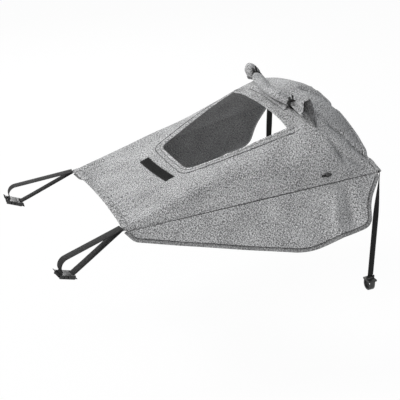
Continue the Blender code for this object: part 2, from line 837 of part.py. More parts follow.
def toggle_object(name, centre, axis, radius, length, bore):
    """A small barrel toggle with a bore along its axis."""
    axis = axis.normalized()
    aside = axis.orthogonal().normalized()
    third = axis.cross(aside)
    outer, inner = [], []
    for place, share in ((-0.50, 0.78), (-0.34, 1.0), (0.34, 1.0), (0.50, 0.78)):
        spot = centre + axis * (place * length)
        outer.append(oval(spot, aside, third, radius * share, radius * share, 12))
        inner.append(oval(spot, aside, third, bore, bore, 12))
    points, faces = loft(outer, inner)
    mesh_object(name, points, faces, "black_plastic", centre)


def build_tie(name, side, pivot):
    """An elastic tie around the roll, its tail standing up, and its bead on a cord beside the tail."""
    frame = roll_frame(side * FLAP_TIE)
    centre, across, up = frame
    along = across.cross(up).normalized()
    inner = FLAP_PINCH + 1.5 * GAP
    middle = inner + ELASTIC / 2
    bands = []
    for size in (inner + ELASTIC, inner):
        band = []
        for shift in (-TIE_WIDTH / 2, TIE_WIDTH / 2):
            spot, wide, tall = roll_frame(side * (FLAP_TIE + shift))
            band.append(oval(spot, wide, tall, size, size, ROLL_AROUND))
        bands.append(band)
    points, faces = loft(*bands)
    tie = mesh_object(name + "_flap_tie", points, faces, "elastic", pivot)
    behind = BEAD_RADIUS
    foot = math.sqrt(middle ** 2 - behind ** 2)
    top = inner + ELASTIC + TIE_TAIL
    tail_middle = centre + across * behind + up * ((foot + top) / 2)
    points, faces = box_points(
        tail_middle, (across, along, up), (ELASTIC / 2, TIE_TAIL_WIDTH / 2, (top - foot) / 2))
    combine(tie, mesh_object(name + "_tie_tail", points, faces, "elastic", pivot), "UNION")
    ahead = BEAD_RADIUS + ELASTIC
    foot = math.sqrt(middle ** 2 - ahead ** 2)
    low = inner + ELASTIC + 2 * GAP
    peg = []
    for height in (foot, low + BEAD_LENGTH + 4 * GAP):
        peg.append(oval(centre - across * ahead + up * height, across, along, TIE_PEG / 2, TIE_PEG / 2, 8))
    points, faces = loft(peg)
    combine(tie, mesh_object(name + "_tie_cord", points, faces, "elastic", pivot), "UNION")
    bead = centre - across * ahead + up * (low + BEAD_LENGTH / 2)
    toggle_object(name + "_flap_toggle", bead, up, BEAD_RADIUS, BEAD_LENGTH, BEAD_BORE)


def build_wing_fastener(name, side):
    """The cord loop sewn into the side seam and the toggle on it, which hold a folded wing."""
    x = WING_TOGGLE_X
    y0, z0 = fold(x)
    root = Vector((x, side * y0, z0))
    upward = (cloth(x, side * 0.9) - root).normalized()
    run = fold_line(side)[1]
    normal = upward.cross(run) * side
    normal = normal.normalized()
    lift = CLOTH / 2 + GAP + TOGGLE_RADIUS + GAP
    centre = root + upward * WING_TOGGLE_UP + normal * lift
    leg = LOOP_CORD / 2 + GAP
    start = -LOOP_LENGTH * 0.62
    end = LOOP_LENGTH * 0.38
    dip = TOGGLE_RADIUS - LOOP_CORD / 2
    path = []
    for place, drop in ((start, dip), (start * 0.8, dip * 0.8), (start * 0.5, 0.0), (end - 0.004, 0.0)):
        path.append(centre + run * place + upward * leg - normal * drop)
    turns = 6
    for i in range(1, turns):
        angle = math.pi * i / turns
        place = end - 0.004 + 0.004 * math.sin(angle)
        path.append(centre + run * place + upward * (leg * math.cos(angle)))
    for place, drop in ((end - 0.004, 0.0), (start * 0.5, 0.0), (start * 0.8, dip * 0.8), (start, dip)):
        path.append(centre + run * place - upward * leg - normal * drop)
    frames = frames_along(path, lambda i: normal)
    rings = [oval(p, across, up, LOOP_CORD / 2, LOOP_CORD / 2, 8) for p, across, up in frames]
    points, faces = loft(rings)
    mesh_object(name + "_wing_loop", points, faces, "elastic")
    toggle_object(name + "_wing_toggle", centre, run, TOGGLE_RADIUS, TOGGLE_LENGTH, TOGGLE_BORE)


def strap_frame(name, side):
    """The empty at a front corner that the handle strap hangs from and swings about."""
    pivot = Vector((-STRAP_ROOT, side * FRONT_HALF, 0.0))
    frame = bpy.data.objects.new(name + "_handle_strap_pivot", None)
    frame.location = pivot - SEAT
    frame.rotation_euler = (0.0, 0.0, math.radians(180.0 - side * STRAP_SPREAD))
    bpy.context.scene.collection.objects.link(frame)
    return frame


def strap_solid(name, path, parent):
    """Webbing along a path in its frame's XZ plane, its width along Y."""
    width_way = Vector((0.0, 1.0, 0.0))
    rings = []
    for i, p in enumerate(path):
        run = (path[min(i + 1, len(path) - 1)] - path[max(i - 1, 0)]).normalized()
        up = width_way.cross(run).normalized()
        rings.append(slab(p, width_way, up, STRAP_WIDTH / 2, WEBBING / 2))
    points, faces = loft(rings)
    return mesh_object(name, points, faces, "black_webbing", parent=parent)


def flat(u, w):
    return Vector((u, 0.0, w))


def bar_place(side):
    """The middle of the handlebar in the strap's frame."""
    if side > 0:
        return flat(BAR_REACH_LEFT, -BAR_DROP_LEFT)
    return flat(BAR_REACH_RIGHT, -BAR_DROP_RIGHT)


def buckle_place(side):
    """(centre, forward, up) of the buckle's shoulder in the strap's frame, under the bar."""
    tilt = math.radians(BUCKLE_TILT)
    forward = flat(math.cos(tilt), math.sin(tilt))
    up = flat(-math.sin(tilt), math.cos(tilt))
    below = BAR_RADIUS + BUCKLE_CLEAR + BUCKLE_THICK / 2
    return bar_place(side) - up * below - forward * BUCKLE_SHIFT, forward, up


def wrap(spot, forward, up, degrees):
    """A point of the webbing's way round a crossbar; 0 degrees is in front of it, 90 over it."""
    angle = math.radians(degrees)
    return spot + forward * (WRAP_RADIUS * math.cos(angle)) + up * (WRAP_RADIUS * math.sin(angle))


def build_handle_strap(name, side):
    """One handle strap: two runs of webbing around the bar, joined by a side-release buckle."""
    frame = strap_frame(name, side)
    place, forward, up = buckle_place(side)
    bar = bar_place(side)
    radius = BAR_RADIUS + BAR_CLEAR + WEBBING / 2
    upper_root = flat(-STRAP_TUCK, WEBBING / 2 + GAP / 2)
    lower_root = flat(-STRAP_TUCK, -WEBBING / 2 - GAP / 2)
    away = bar - upper_root
    lean = math.atan2(away.z, away.x) + math.asin(radius / away.length)
    touch = math.degrees(lean) + 90.0
    upper = []
    for i in range(5):
        upper.append(upper_root.lerp(bar + flat(*polar(radius, touch)), i / 4))
    steps = 10
    for i in range(1, steps + 1):
        upper.append(bar + flat(*polar(radius, touch + (BAR_WRAP_END - touch) * i / steps)))
    spot = place + forward * (SOCKET_LENGTH - CROSSBAR / 2)
    upper.append(wrap(spot, forward, up, 180) + up * BUCKLE_THICK / 2)
    upper += [wrap(spot, forward, up, degrees) for degrees in (180, 225, 270, 315, 360)]
    upper.append(upper[-1] + up * (BUCKLE_THICK / 2) + forward * 0.001)
    upper.append(upper[-1] + up * (TAIL_LENGTH * 0.4) + forward * (TAIL_LENGTH * 0.6))
    strap_solid(name + "_upper_strap", upper, frame)
    spot = place - forward * (PLUG_BASE + SLOT + CROSSBAR / 2)
    entry = wrap(spot, forward, up, 50)
    lower = [lower_root.lerp(entry, i / 5) for i in range(6)]
    lower += [wrap(spot, forward, up, degrees) for degrees in (0, -45, -90)]
    lower.append(lower[-1] - forward * TAIL_LENGTH - up * 0.0015)
    strap_solid(name + "_lower_strap", lower, frame)
    build_buckle(name, frame, place, forward, up)


def polar(radius, degrees):
    return radius * math.cos(math.radians(degrees)), radius * math.sin(math.radians(degrees))


def buckle_box(name, frame, place, forward, up, span, wide, thick):
    """A box given by its spans along the buckle, across it and through it."""
    corners = ((span[0], wide[0]), (span[1], wide[0]), (span[1], wide[1]), (span[0], wide[1]))
    return buckle_plate(name, frame, place, forward, up, corners, thick)


def buckle_plate(name, frame, place, forward, up, outline, thick, pivot=None):
    """A flat solid: an outline along and across the buckle, with its span through it."""
    rings = []
    for level in thick:
        rings.append([place + forward * a + Vector((0.0, b, 0.0)) + up * level for a, b in outline])
    points, faces = loft(rings)
    return mesh_object(name, points, faces, "black_plastic", pivot, frame)


def fork(shoulder, base, end, half, rail):
    """The outline of a buckle half: a base with two cheeks that reach to its end."""
    return (
        (shoulder, -half), (shoulder, half), (end, half), (end, rail),
        (base, rail), (base, -rail), (end, -rail), (end, -half),
    )


def add_crossbar(piece, name, frame, spot, forward, up, rail):
    """The round bar between the cheeks that the webbing goes around."""
    rings = []
    for edge in (-rail - BUCKLE_WALL / 2, rail + BUCKLE_WALL / 2):
        rings.append(oval(spot + Vector((0.0, edge, 0.0)), forward, up, CROSSBAR / 2, CROSSBAR / 2, 8))
    points, faces = loft(rings)
    combine(piece, mesh_object(name, points, faces, "black_plastic", parent=frame), "UNION")


def build_buckle(name, frame, place, forward, up):
    """The buckle's socket, its plug with a guide prong, and the plug's two release arms."""
    half = BUCKLE_WIDTH / 2
    thick = BUCKLE_THICK / 2
    inside = half - BUCKLE_WALL
    rail = STRAP_WIDTH / 2 + 3 * GAP
    deep = thick - BUCKLE_WALL
    slot_start = SOCKET_LENGTH - CROSSBAR - SLOT
    outline = fork(GAP / 2, slot_start, SOCKET_LENGTH, half, rail)
    socket = buckle_plate(name + "_buckle_socket", frame, place, forward, up, outline, (-thick, thick))
    cavity = buckle_box(name + "_socket_cavity", frame, place, forward, up,
                        (-0.001, SOCKET_DEPTH), (-inside, inside), (-deep, deep))
    combine(socket, cavity, "DIFFERENCE")
    window = (BUTTON_START - 2 * GAP, SOCKET_DEPTH - 3 * GAP)
    windows = buckle_box(name + "_socket_windows", frame, place, forward, up,
                         window, (-half - 0.001, half + 0.001), (-deep + GAP / 3, deep - GAP / 3))
    combine(socket, windows, "DIFFERENCE")
    bar = place + forward * (SOCKET_LENGTH - CROSSBAR / 2)
    add_crossbar(socket, name + "_socket_crossbar", frame, bar, forward, up, rail)
    plug_end = -(PLUG_BASE + SLOT + CROSSBAR)
    outline = fork(-GAP / 2, -PLUG_BASE, plug_end, half, rail)
    plug = buckle_plate(name + "_buckle_plug", frame, place, forward, up, outline, (-thick, thick))
    prong = buckle_box(name + "_plug_prong", frame, place, forward, up,
                       (-PLUG_BASE / 2, SOCKET_DEPTH - 5 * GAP), (-PRONG_WIDTH / 2, PRONG_WIDTH / 2),
                       (-PRONG_THICK / 2, PRONG_THICK / 2))
    combine(plug, prong, "UNION")
    bar = place + forward * (plug_end + CROSSBAR / 2)
    add_crossbar(plug, name + "_plug_crossbar", frame, bar, forward, up, rail)
    for label, way in (("outer", side_sign(name)), ("inner", -side_sign(name))):
        build_release_arm(name + "_" + label + "_release_arm", frame, place, forward, up, way)


def side_sign(name):
    """+1 where the strap frame's +Y points away from the pram, else -1."""
    return -1 if name == "left" else 1


def build_release_arm(name, frame, place, forward, up, way):
    """A release arm: a flexing strip from the plug, with a button that fills the side window."""
    root = 2 * GAP
    low = ARM_SET - ARM_WIDTH / 2
    high = ARM_SET + ARM_WIDTH / 2
    half = BUCKLE_WIDTH / 2
    outline = [
        (root, low), (ARM_LENGTH, low + ARM_WIDTH / 2), (ARM_LENGTH, half - BUCKLE_WALL),
        (ARM_LENGTH - BUTTON_SLOPE, half + BUTTON_PROUD * 0.4),
        (ARM_LENGTH - 3 * BUTTON_SLOPE, half + BUTTON_PROUD),
        (BUTTON_START + 3 * GAP, half - BUCKLE_WALL / 2),
        (BUTTON_START, high), (root, high),
    ]
    outline = [(a, b * way) for a, b in outline]
    deep = BUCKLE_THICK / 2 - BUCKLE_WALL - GAP
    pivot = place + forward * root + Vector((0.0, ARM_SET * way, 0.0))
    buckle_plate(name, frame, place, forward, up, outline, (-deep, deep), pivot)


def hook_outline():
    """The hook from the side as (inward, down) corners of its outer and inner edges."""
    inner = HOOK_TUBE / 2
    outer = inner + HOOK_STOCK
    turns = 9
    inside, outside = [], []
    for i in range(turns + 1):
        angle = math.pi * (i / turns)
        inside.append((inner - inner * math.cos(angle), HOOK_STEM + inner * math.sin(angle)))
        outside.append((inner - outer * math.cos(angle), HOOK_STEM + outer * math.sin(angle)))
    tip_in = (2 * inner, HOOK_STEM - HOOK_TIP)
    tip_out = (2 * inner + HOOK_STOCK, HOOK_STEM - HOOK_TIP)
    stem = [(-HOOK_STOCK, 0.0), (0.0, 0.0)]
    return stem + inside + [tip_in, tip_out] + list(reversed(outside))


def balance(outline):
    """How far inward the outline's centre of area lies."""
    area = 0.0
    moment = 0.0
    for (a0, b0), (a1, b1) in zip(outline, outline[1:] + outline[:1]):
        strip = a0 * b1 - a1 * b0
        area += strip
        moment += (a0 + a1) * strip
    return moment / (3.0 * area)


def rear_strap_top(side):
    """The point and the direction where the strap leaves the end of the rear hem."""
    x = rear_edge(REAR_HEM_END) - REAR_HEM_WIDTH / 2
    end = cloth(x, side * REAR_HEM_END)
    before = cloth(rear_edge(0.95) - REAR_HEM_WIDTH / 2, side * 0.95)
    run = (end - before).normalized()
    return end + run * (2 * GAP), run


def build_rear_strap(name, side):
    """An elastic strap from a rear corner, twisting as it drops, and the hook on its foot."""
    top, run = rear_strap_top(side)
    down = Vector((0.0, 0.0, -1.0))
    aside = Vector((0.0, run.y, 0.0)) * (REAR_STRAP_LEAN / 2)
    radius = HOOK_BAR / 2 + ELASTIC / 2 + GAP
    foot = top + down * REAR_STRAP_LENGTH + aside
    drop = REAR_STRAP_LENGTH - 2 * radius
    rings = []
    steps = 22
    for i in range(steps + 1):
        walked = drop * (i / steps) ** 1.2
        lean = min(walked / REAR_STRAP_LEAN, 1.0)
        spot = top + down * walked + aside * (lean * (2 - lean))
        turn = math.radians(REAR_STRAP_TURN) * (1.0 - min(walked / REAR_STRAP_TWIST, 1.0))
        wide = Vector((math.cos(turn), -side * math.sin(turn), 0.0))
        heading = (down + Vector((0.0, run.y, 0.0)) * (1 - lean)).normalized()
        wide = (wide - heading * wide.dot(heading)).normalized()
        rings.append(slab(spot, wide, wide.cross(heading).normalized(), REAR_STRAP_WIDTH / 2, ELASTIC / 2))
    wide = Vector((1.0, 0.0, 0.0))
    eye = []
    for degrees in (60, 30, 0, -45, -90, -135, -180, -210, -238):
        eye.append(foot + Vector((0.0, *polar(radius, degrees))))
    for i, spot in enumerate(eye):
        run = (eye[min(i + 1, len(eye) - 1)] - eye[max(i - 1, 0)]).normalized()
        rings.append(slab(spot, wide, wide.cross(run).normalized(), REAR_STRAP_WIDTH / 2, ELASTIC / 2))
    points, faces = loft(rings)
    mesh_object(name + "_rear_strap", points, faces, "elastic", top)
    build_rear_hook(name, side, foot)


def build_rear_hook(name, side, foot):
    """The open hook that goes over a frame tube, hanging level from its crossbar."""
    outline = hook_outline()
    shift = balance(outline)
    block_top = -(HOOK_BAR / 2 + 2 * ELASTIC + 3 * GAP)
    block_base = block_top - HOOK_STOCK
    inward = Vector((0.0, float(-side), 0.0))
    wide = Vector((1.0, 0.0, 0.0))
    up = Vector((0.0, 0.0, 1.0))
    rings = []
    for edge in (-HOOK_WIDTH / 2, HOOK_WIDTH / 2):
        ring = []
        for a, b in outline:
            ring.append(foot + wide * edge + inward * (a - shift) + up * (block_base + 0.001 - b))
        rings.append(ring)
    points, faces = loft(rings)
    hook = mesh_object(name + "_rear_hook", points, faces, "black_plastic", foot)
    rail = REAR_STRAP_WIDTH / 2 + 2 * GAP
    cheek = 0.0025
    reach = shift + HOOK_STOCK
    parts = (
        ("block", (-rail - cheek, rail + cheek), (-reach, reach), (block_base, block_top)),
        ("cheek_a", (-rail - cheek, -rail), (-HOOK_BAR / 2, HOOK_BAR / 2), (block_base + 0.001, HOOK_BAR / 2)),
        ("cheek_b", (rail, rail + cheek), (-HOOK_BAR / 2, HOOK_BAR / 2), (block_base + 0.001, HOOK_BAR / 2)),
    )
    for label, across, depth, height in parts:
        centre = foot + wide * ((across[0] + across[1]) / 2) + up * ((height[0] + height[1]) / 2)
        halves = [(b - a) / 2 for a, b in (across, depth, height)]
        box, box_faces = box_points(centre, (wide, inward, up), halves)
        part = mesh_object(name + "_hook_" + label, box, box_faces, "black_plastic", foot)
        combine(hook, part, "UNION")
    bar = []
    for edge in (-rail - 0.001, rail + 0.001):
        bar.append(oval(foot + wide * edge, inward, up, HOOK_BAR / 2, HOOK_BAR / 2, 8))
    bar_points, bar_faces = loft(bar)
    crossbar = mesh_object(name + "_hook_crossbar", bar_points, bar_faces, "black_plastic", foot)
    combine(hook, crossbar, "UNION")


clear_scene()
build_top_panel()
build_hems()
build_window_binding()
build_hook_strip()
build_flap()
for side_name, side_way in SIDES:
    build_wing(side_name, side_way)
    build_wing_fastener(side_name, side_way)
    build_handle_strap(side_name, side_way)
    build_rear_strap(side_name, side_way)
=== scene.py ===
# %% [markdown]
# # A cloth sun shade
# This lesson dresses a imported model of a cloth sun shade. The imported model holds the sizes, the joints
# and the places of all pieces. Here each soft solid gets a real sheet of cloth, webbing or elastic in
# its place, and the buckles and beads get rounded edges and a moulded finish.

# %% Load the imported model
import json
import math

import bmesh
import bpy
import numpy as np
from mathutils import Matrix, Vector

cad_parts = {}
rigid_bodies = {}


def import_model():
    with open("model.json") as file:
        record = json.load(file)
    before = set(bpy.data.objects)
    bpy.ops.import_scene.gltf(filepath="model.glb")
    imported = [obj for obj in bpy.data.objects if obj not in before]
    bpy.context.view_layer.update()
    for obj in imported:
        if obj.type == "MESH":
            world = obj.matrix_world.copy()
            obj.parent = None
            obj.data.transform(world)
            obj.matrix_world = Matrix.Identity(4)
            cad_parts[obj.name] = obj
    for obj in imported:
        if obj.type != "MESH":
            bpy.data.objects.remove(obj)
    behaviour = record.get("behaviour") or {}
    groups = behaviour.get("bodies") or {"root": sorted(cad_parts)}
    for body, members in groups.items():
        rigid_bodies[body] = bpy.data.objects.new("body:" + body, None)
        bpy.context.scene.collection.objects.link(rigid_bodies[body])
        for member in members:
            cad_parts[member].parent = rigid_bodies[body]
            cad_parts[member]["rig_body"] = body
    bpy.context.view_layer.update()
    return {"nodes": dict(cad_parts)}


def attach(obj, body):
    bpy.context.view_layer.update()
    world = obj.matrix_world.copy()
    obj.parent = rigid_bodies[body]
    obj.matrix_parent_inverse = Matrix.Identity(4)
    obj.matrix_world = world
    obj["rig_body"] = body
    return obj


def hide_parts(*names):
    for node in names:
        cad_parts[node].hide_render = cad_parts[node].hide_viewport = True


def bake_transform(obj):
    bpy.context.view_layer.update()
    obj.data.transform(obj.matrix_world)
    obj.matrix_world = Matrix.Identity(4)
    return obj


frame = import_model()

# %% [markdown]
# ## The camera
# The photograph was taken from the front right and a little above. The lens is long, so that straight
# lines stay nearly parallel. The camera is turned by its own three directions: right, up and back.

# %% Camera
AZIMUTH = math.radians(-25.3)
ELEVATION = math.radians(25.8)
EYE = Vector((-1.0485, -1.8067, 0.7224))
LENS = 85.5
SENSOR = 36.0


def add(name, data):
    """A new object in the scene, with its data."""
    made = bpy.data.objects.new(name, data)
    bpy.context.scene.collection.objects.link(made)
    return made


def aim_camera():
    """The camera at the photograph's place and angle."""
    right = Vector((math.cos(AZIMUTH), math.sin(AZIMUTH), 0.0))
    back = Vector((math.sin(AZIMUTH) * math.cos(ELEVATION), -math.cos(AZIMUTH) * math.cos(ELEVATION),
                   math.sin(ELEVATION)))
    up = back.cross(right)
    data = bpy.data.cameras.new("photo camera")
    data.lens = LENS
    data.sensor_width = SENSOR
    camera = add("photo camera", data)
    turn = camera.matrix_world.copy()
    for row in range(3):
        turn[row][0], turn[row][1], turn[row][2], turn[row][3] = right[row], up[row], back[row], EYE[row]
    camera.matrix_world = turn
    bpy.context.scene.camera = camera


aim_camera()
print("camera", round(EYE.length, 2), "m from the origin, lens", LENS, "mm")

# %% [markdown]
# ## Light and floor
# A product photograph has soft light from a big window and a white ground. The ground is white for the
# camera through Light Path, and it still takes the shade's faint shadow, because only part of its shader
# is the plain white.

# %% Node helpers
SKY = (0.92, 0.95, 1.0, 1.0)
WHITE = (1.0, 1.0, 1.0, 1.0)
GROUND = (0.88, 0.88, 0.88, 1.0)


def node(tree, kind, inputs=None, **settings):
    """A node with its settings; inputs maps a socket to a value or to another node's output."""
    made = tree.nodes.new(kind)
    for key, value in settings.items():
        setattr(made, key, value)
    for key, value in (inputs or {}).items():
        if isinstance(value, bpy.types.NodeSocket):
            tree.links.new(value, made.inputs[key])
        else:
            made.inputs[key].default_value = value
    return made


def maths(tree, operation, a, b):
    return node(tree, "ShaderNodeMath", {0: a, 1: b}, operation=operation).outputs[0]


def rays(tree, *kinds):
    """1 for a ray of any of these kinds, else 0."""
    path = node(tree, "ShaderNodeLightPath")
    seen = path.outputs[f"Is {kinds[0]} Ray"]
    for kind in kinds[1:]:
        seen = maths(tree, "MAXIMUM", seen, path.outputs[f"Is {kind} Ray"])
    return seen


def mix_looks(tree, share, first, second, output):
    """End a shader tree in a mix of two shaders."""
    mix = node(tree, "ShaderNodeMixShader", {0: share, 1: first.outputs[0], 2: second.outputs[0]})
    node(tree, output, {"Surface": mix.outputs[0]})


print("sky", SKY[:3], "ground", GROUND[:3])

# %% World and lamps
FLOOR_HEIGHT = -0.55
FLOOR_REACH = 9.0
FLOOR_WHITE = 0.96
SKY_LIGHT = 0.30


def light_world(strength):
    """A pale world for light, white where the camera or a reflection sees it."""
    world = bpy.data.worlds.new("studio")
    bpy.context.scene.world = world
    world.use_nodes = True
    tree = world.node_tree
    tree.nodes.clear()
    dim = node(tree, "ShaderNodeBackground", {"Color": SKY, "Strength": strength})
    white = node(tree, "ShaderNodeBackground", {"Color": WHITE, "Strength": 1.0})
    mix_looks(tree, rays(tree, "Camera", "Transmission", "Glossy"), dim, white, "ShaderNodeOutputWorld")


def soft_lamp(name, place, target, size, watts, colour=(1.0, 1.0, 1.0)):
    """A square soft box that looks at a point."""
    data = bpy.data.lights.new(name, "AREA")
    data.shape = "SQUARE"
    data.size = size
    data.energy = watts
    data.color = colour
    lamp = add(name, data)
    lamp.location = place
    lamp.rotation_euler = (Vector(target) - Vector(place)).to_track_quat("-Z", "Y").to_euler()


light_world(SKY_LIGHT)
soft_lamp("window light", (-1.5, 0.9, 1.9), (0.0, 0.0, -0.02), 0.9, 46.0)
soft_lamp("side fill", (-1.6, -2.2, 0.6), (-0.1, 0.0, -0.10), 1.5, 29.0, (1.0, 0.99, 0.98))
soft_lamp("rim light", (0.3, 2.2, 0.9), (-0.1, 0.1, -0.05), 0.8, 26.0)
bpy.context.scene.view_settings.view_transform = "Standard"
print("three lamps and a pale world")


# %% Floor
def lay_floor():
    """A pale ground that the camera sees as nearly white."""
    mesh = bpy.data.meshes.new("floor")
    far = FLOOR_REACH
    corners = [(x, y, FLOOR_HEIGHT) for x, y in ((-far, -far), (far, -far), (far, far), (-far, far))]
    mesh.from_pydata(corners, [], [(0, 1, 2, 3)])
    material = bpy.data.materials.new("pale ground")
    material.use_nodes = True
    tree = material.node_tree
    tree.nodes.clear()
    share = maths(tree, "MULTIPLY", rays(tree, "Camera", "Glossy"), FLOOR_WHITE)
    matt = node(tree, "ShaderNodeBsdfDiffuse", {"Color": GROUND})
    white = node(tree, "ShaderNodeEmission", {"Strength": 1.0})
    mix_looks(tree, share, matt, white, "ShaderNodeOutputMaterial")
    mesh.materials.append(material)
    ground = add("floor", mesh)


lay_floor()
print("floor at", FLOOR_HEIGHT, "m")

# %% [markdown]
# ## The shape of the cloth
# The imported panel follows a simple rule: at each station along the shade a cross-section runs from the
# crown over a rounded ridge down to the fold line of the wing. The same rule is written here for whole
# arrays of points, so that the cloth can be as fine as its folds need. Lengths are metres from the front
# hem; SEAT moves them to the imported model's origin.

# %% Sizes of the panel
CLOTH = 0.0012
GAP = 0.0003
LENGTH = 0.582
FRONT_HALF = 0.160
FRONT_HOLLOW = 0.008
REAR_HOLLOW = 0.025
REAR_SIDE_HOLLOW = 0.010
REAR_TURN = 0.7
REAR_DIP = 0.004
FOLD_FRONT = np.array((0.163, -0.010))
FOLD_REAR = np.array((0.249, 0.053))
BOW_X = 0.450
CROWN_HEIGHTS = (
    (0.000, 0.000), (0.321, 0.056), (0.515, 0.103), (0.703, 0.160), (0.773, 0.186),
    (0.842, 0.197), (0.902, 0.190), (0.971, 0.168), (1.031, 0.150),
)
RIDGE_HALVES = (
    (0.000, 0.160), (0.321, 0.157), (0.515, 0.157), (0.722, 0.170), (0.859, 0.180), (1.010, 0.140),
)
RIDGE_HEIGHTS = (
    (0.000, 0.000), (0.321, 0.062), (0.515, 0.101), (0.722, 0.155),
    (0.808, 0.168), (0.893, 0.155), (1.010, 0.118),
)
ROUNDNESS = ((0.000, 0.10), (0.321, 0.25), (0.515, 0.45), (0.703, 0.80), (1.031, 0.90))
RIDGE_SOFTNESS = 0.8
RIDGE_PLACE = 0.70
CROWN_ROUND = 0.45
SIDES = (("left", 1), ("right", -1))


def through(stations, x):
    """Smooth heights at places x, through (place, height) stations, with no overshoot between them."""
    x = np.asarray(x, float)
    places, heights = np.array(stations).T
    steps = np.diff(places)
    slopes = np.diff(heights) / steps
    tangents = [slopes[0]]
    for i in range(1, len(slopes)):
        before, after = slopes[i - 1], slopes[i]
        if before * after <= 0.0:
            tangents.append(0.0)
        else:
            tangents.append((steps[i - 1] + steps[i]) / (steps[i - 1] / before + steps[i] / after))
    tangents = np.array(tangents + [slopes[-1]])
    i = np.clip(np.searchsorted(places, x) - 1, 0, len(steps) - 1)
    f = (x - places[i]) / steps[i]
    start = (1 + 2 * f) * (1 - f) ** 2 * heights[i] + f * (1 - f) ** 2 * steps[i] * tangents[i]
    return start + f * f * (3 - 2 * f) * heights[i + 1] + f * f * (f - 1) * steps[i] * tangents[i + 1]


def fold_place(share):
    """(y, z) of the left fold line at shares of the shade's length."""
    return FOLD_FRONT + (FOLD_REAR - FOLD_FRONT) * np.asarray(share)[..., None]


def cross_section(x, t):
    """(y, z) of the cloth at stations x, with t from 0 on the middle to 1 on the fold line."""
    x, t = np.broadcast_arrays(np.asarray(x, float), np.asarray(t, float))
    share = x / LENGTH
    middle = np.stack((0.0 * x, through(CROWN_HEIGHTS, share)), -1)
    corner = np.stack((through(RIDGE_HALVES, share), through(RIDGE_HEIGHTS, share)), -1)
    side = fold_place(share)
    k = through(ROUNDNESS, share)[..., None]
    inner = corner + (middle - corner) * k * RIDGE_SOFTNESS
    outer = corner + (side - corner) * k * RIDGE_SOFTNESS
    t = t[..., None]
    start = RIDGE_PLACE - 0.35 * k
    end = RIDGE_PLACE + 0.20 * k
    q = np.clip((t - start) / (end - start), 0.0, 1.0)
    turned = inner * (1 - q) ** 2 + corner * (2 * q * (1 - q)) + outer * q * q
    f = t / start
    drop = np.where(f < CROWN_ROUND, f * f / (2 * CROWN_ROUND) + CROWN_ROUND / 2, f)
    near = np.concatenate((inner[..., :1] * f, middle[..., 1:] + (inner - middle)[..., 1:] * drop), -1)
    far = outer + (side - outer) * (t - end) / (1 - end)
    return np.where(t < start, near, np.where(t < end, turned, far))


SEAT = np.array((BOW_X, 0.0, float(through(CROWN_HEIGHTS, BOW_X / LENGTH)) - CLOTH / 2))
print("the seat lies", np.round(SEAT * 1000, 1), "mm from the front hem's middle")


# %% Points on the panel
def smooth(value):
    """A soft step from 0 to 1."""
    value = np.clip(value, 0.0, 1.0)
    return value * value * (3 - 2 * value)


def plain_cloth(x, t):
    """Points of the undraped cloth; t is negative on the right side."""
    x, t = np.broadcast_arrays(np.asarray(x, float), np.asarray(t, float))
    section = cross_section(x, np.abs(t))
    return np.stack((x, np.copysign(section[..., 0], t), section[..., 1]), -1)


def share_at(x, y):
    """The share t of the cross-section whose point lies at y, found by halving."""
    x, y = np.broadcast_arrays(np.asarray(x, float), np.asarray(y, float))
    low = np.zeros(x.shape)
    high = np.ones(x.shape)
    for _ in range(26):
        middle = (low + high) / 2
        less = cross_section(x, middle)[..., 0] < np.abs(y)
        low = np.where(less, middle, low)
        high = np.where(less, high, middle)
    return np.copysign(low, y)


def unit(vectors):
    return vectors / np.maximum(np.linalg.norm(vectors, axis=-1, keepdims=True), 1e-12)


def cloth_normal(x, t):
    """The outward direction of the cloth, from small steps along it and across it."""
    size = np.abs(t)
    step, stride = 0.004, 0.001
    ahead = cross_section(x + stride, size) - cross_section(x - stride, size)
    aside = cross_section(x, size + step) - cross_section(x, np.maximum(size - step, 0.0))
    run = np.stack((np.full_like(size, 2 * stride), ahead[..., 0], ahead[..., 1]), -1)
    wide = np.stack((np.zeros_like(size), aside[..., 0], aside[..., 1]), -1)
    normal = unit(np.cross(run, wide))
    normal[..., 1] = np.where(size < 1e-6, 0.0, np.copysign(1.0, t) * normal[..., 1])
    return unit(normal)


def front_edge(t):
    return FRONT_HOLLOW * (1 - t * t)


def rear_edge(t):
    """The rear hem's free edge, hollow in the middle and again near each corner."""
    t = np.abs(t)
    share = np.clip((t - REAR_TURN) / (1 - REAR_TURN), 0.0, 1.0)
    corner = LENGTH - REAR_SIDE_HOLLOW * (1 - share) - REAR_DIP * np.sin(np.pi * share)
    middle = LENGTH - REAR_SIDE_HOLLOW - (REAR_HOLLOW - REAR_SIDE_HOLLOW) * (1 - (t / REAR_TURN) ** 2)
    return np.where(t > REAR_TURN, corner, middle)


print("rear hem from", rear_edge(np.array(0.0)).round(3), "to", rear_edge(np.array(1.0)).round(3), "m")

# %% [markdown]
# ## How the cloth drapes
# Real cloth is never as smooth as its rule. The elastic in the front hem draws it into small gathers that
# die out over a few centimetres. At the rear corners it is pulled into creases, and between them it sinks
# a little. Round the window it is turned over and sewn down. Each effect is a small height that is added
# along the cloth's normal, so that hems, tapes and stitches that lie on the cloth can follow it too.

# %% The window's outline
WINDOW_FRONT = 0.183
WINDOW_REAR = 0.4215
WINDOW_STATIONS = ((0.183, 0.077), (0.304, 0.116), (0.4215, 0.140))
WINDOW_FRONT_CORNER = 0.022
WINDOW_REAR_CORNER = 0.006
WINDOW_STITCH = 0.0074
WINDOW_TURN = 0.0082
BAND_WIDTH = 0.017


def curve_turn(before, corner, after, radius, count):
    """Points around a corner, starting and ending at radius from it."""
    start = corner + unit(before - corner) * radius
    end = corner + unit(after - corner) * radius
    q = (np.arange(count + 1) / count)[:, None]
    return start * (1 - q) ** 2 + corner * (2 * q * (1 - q)) + end * q * q


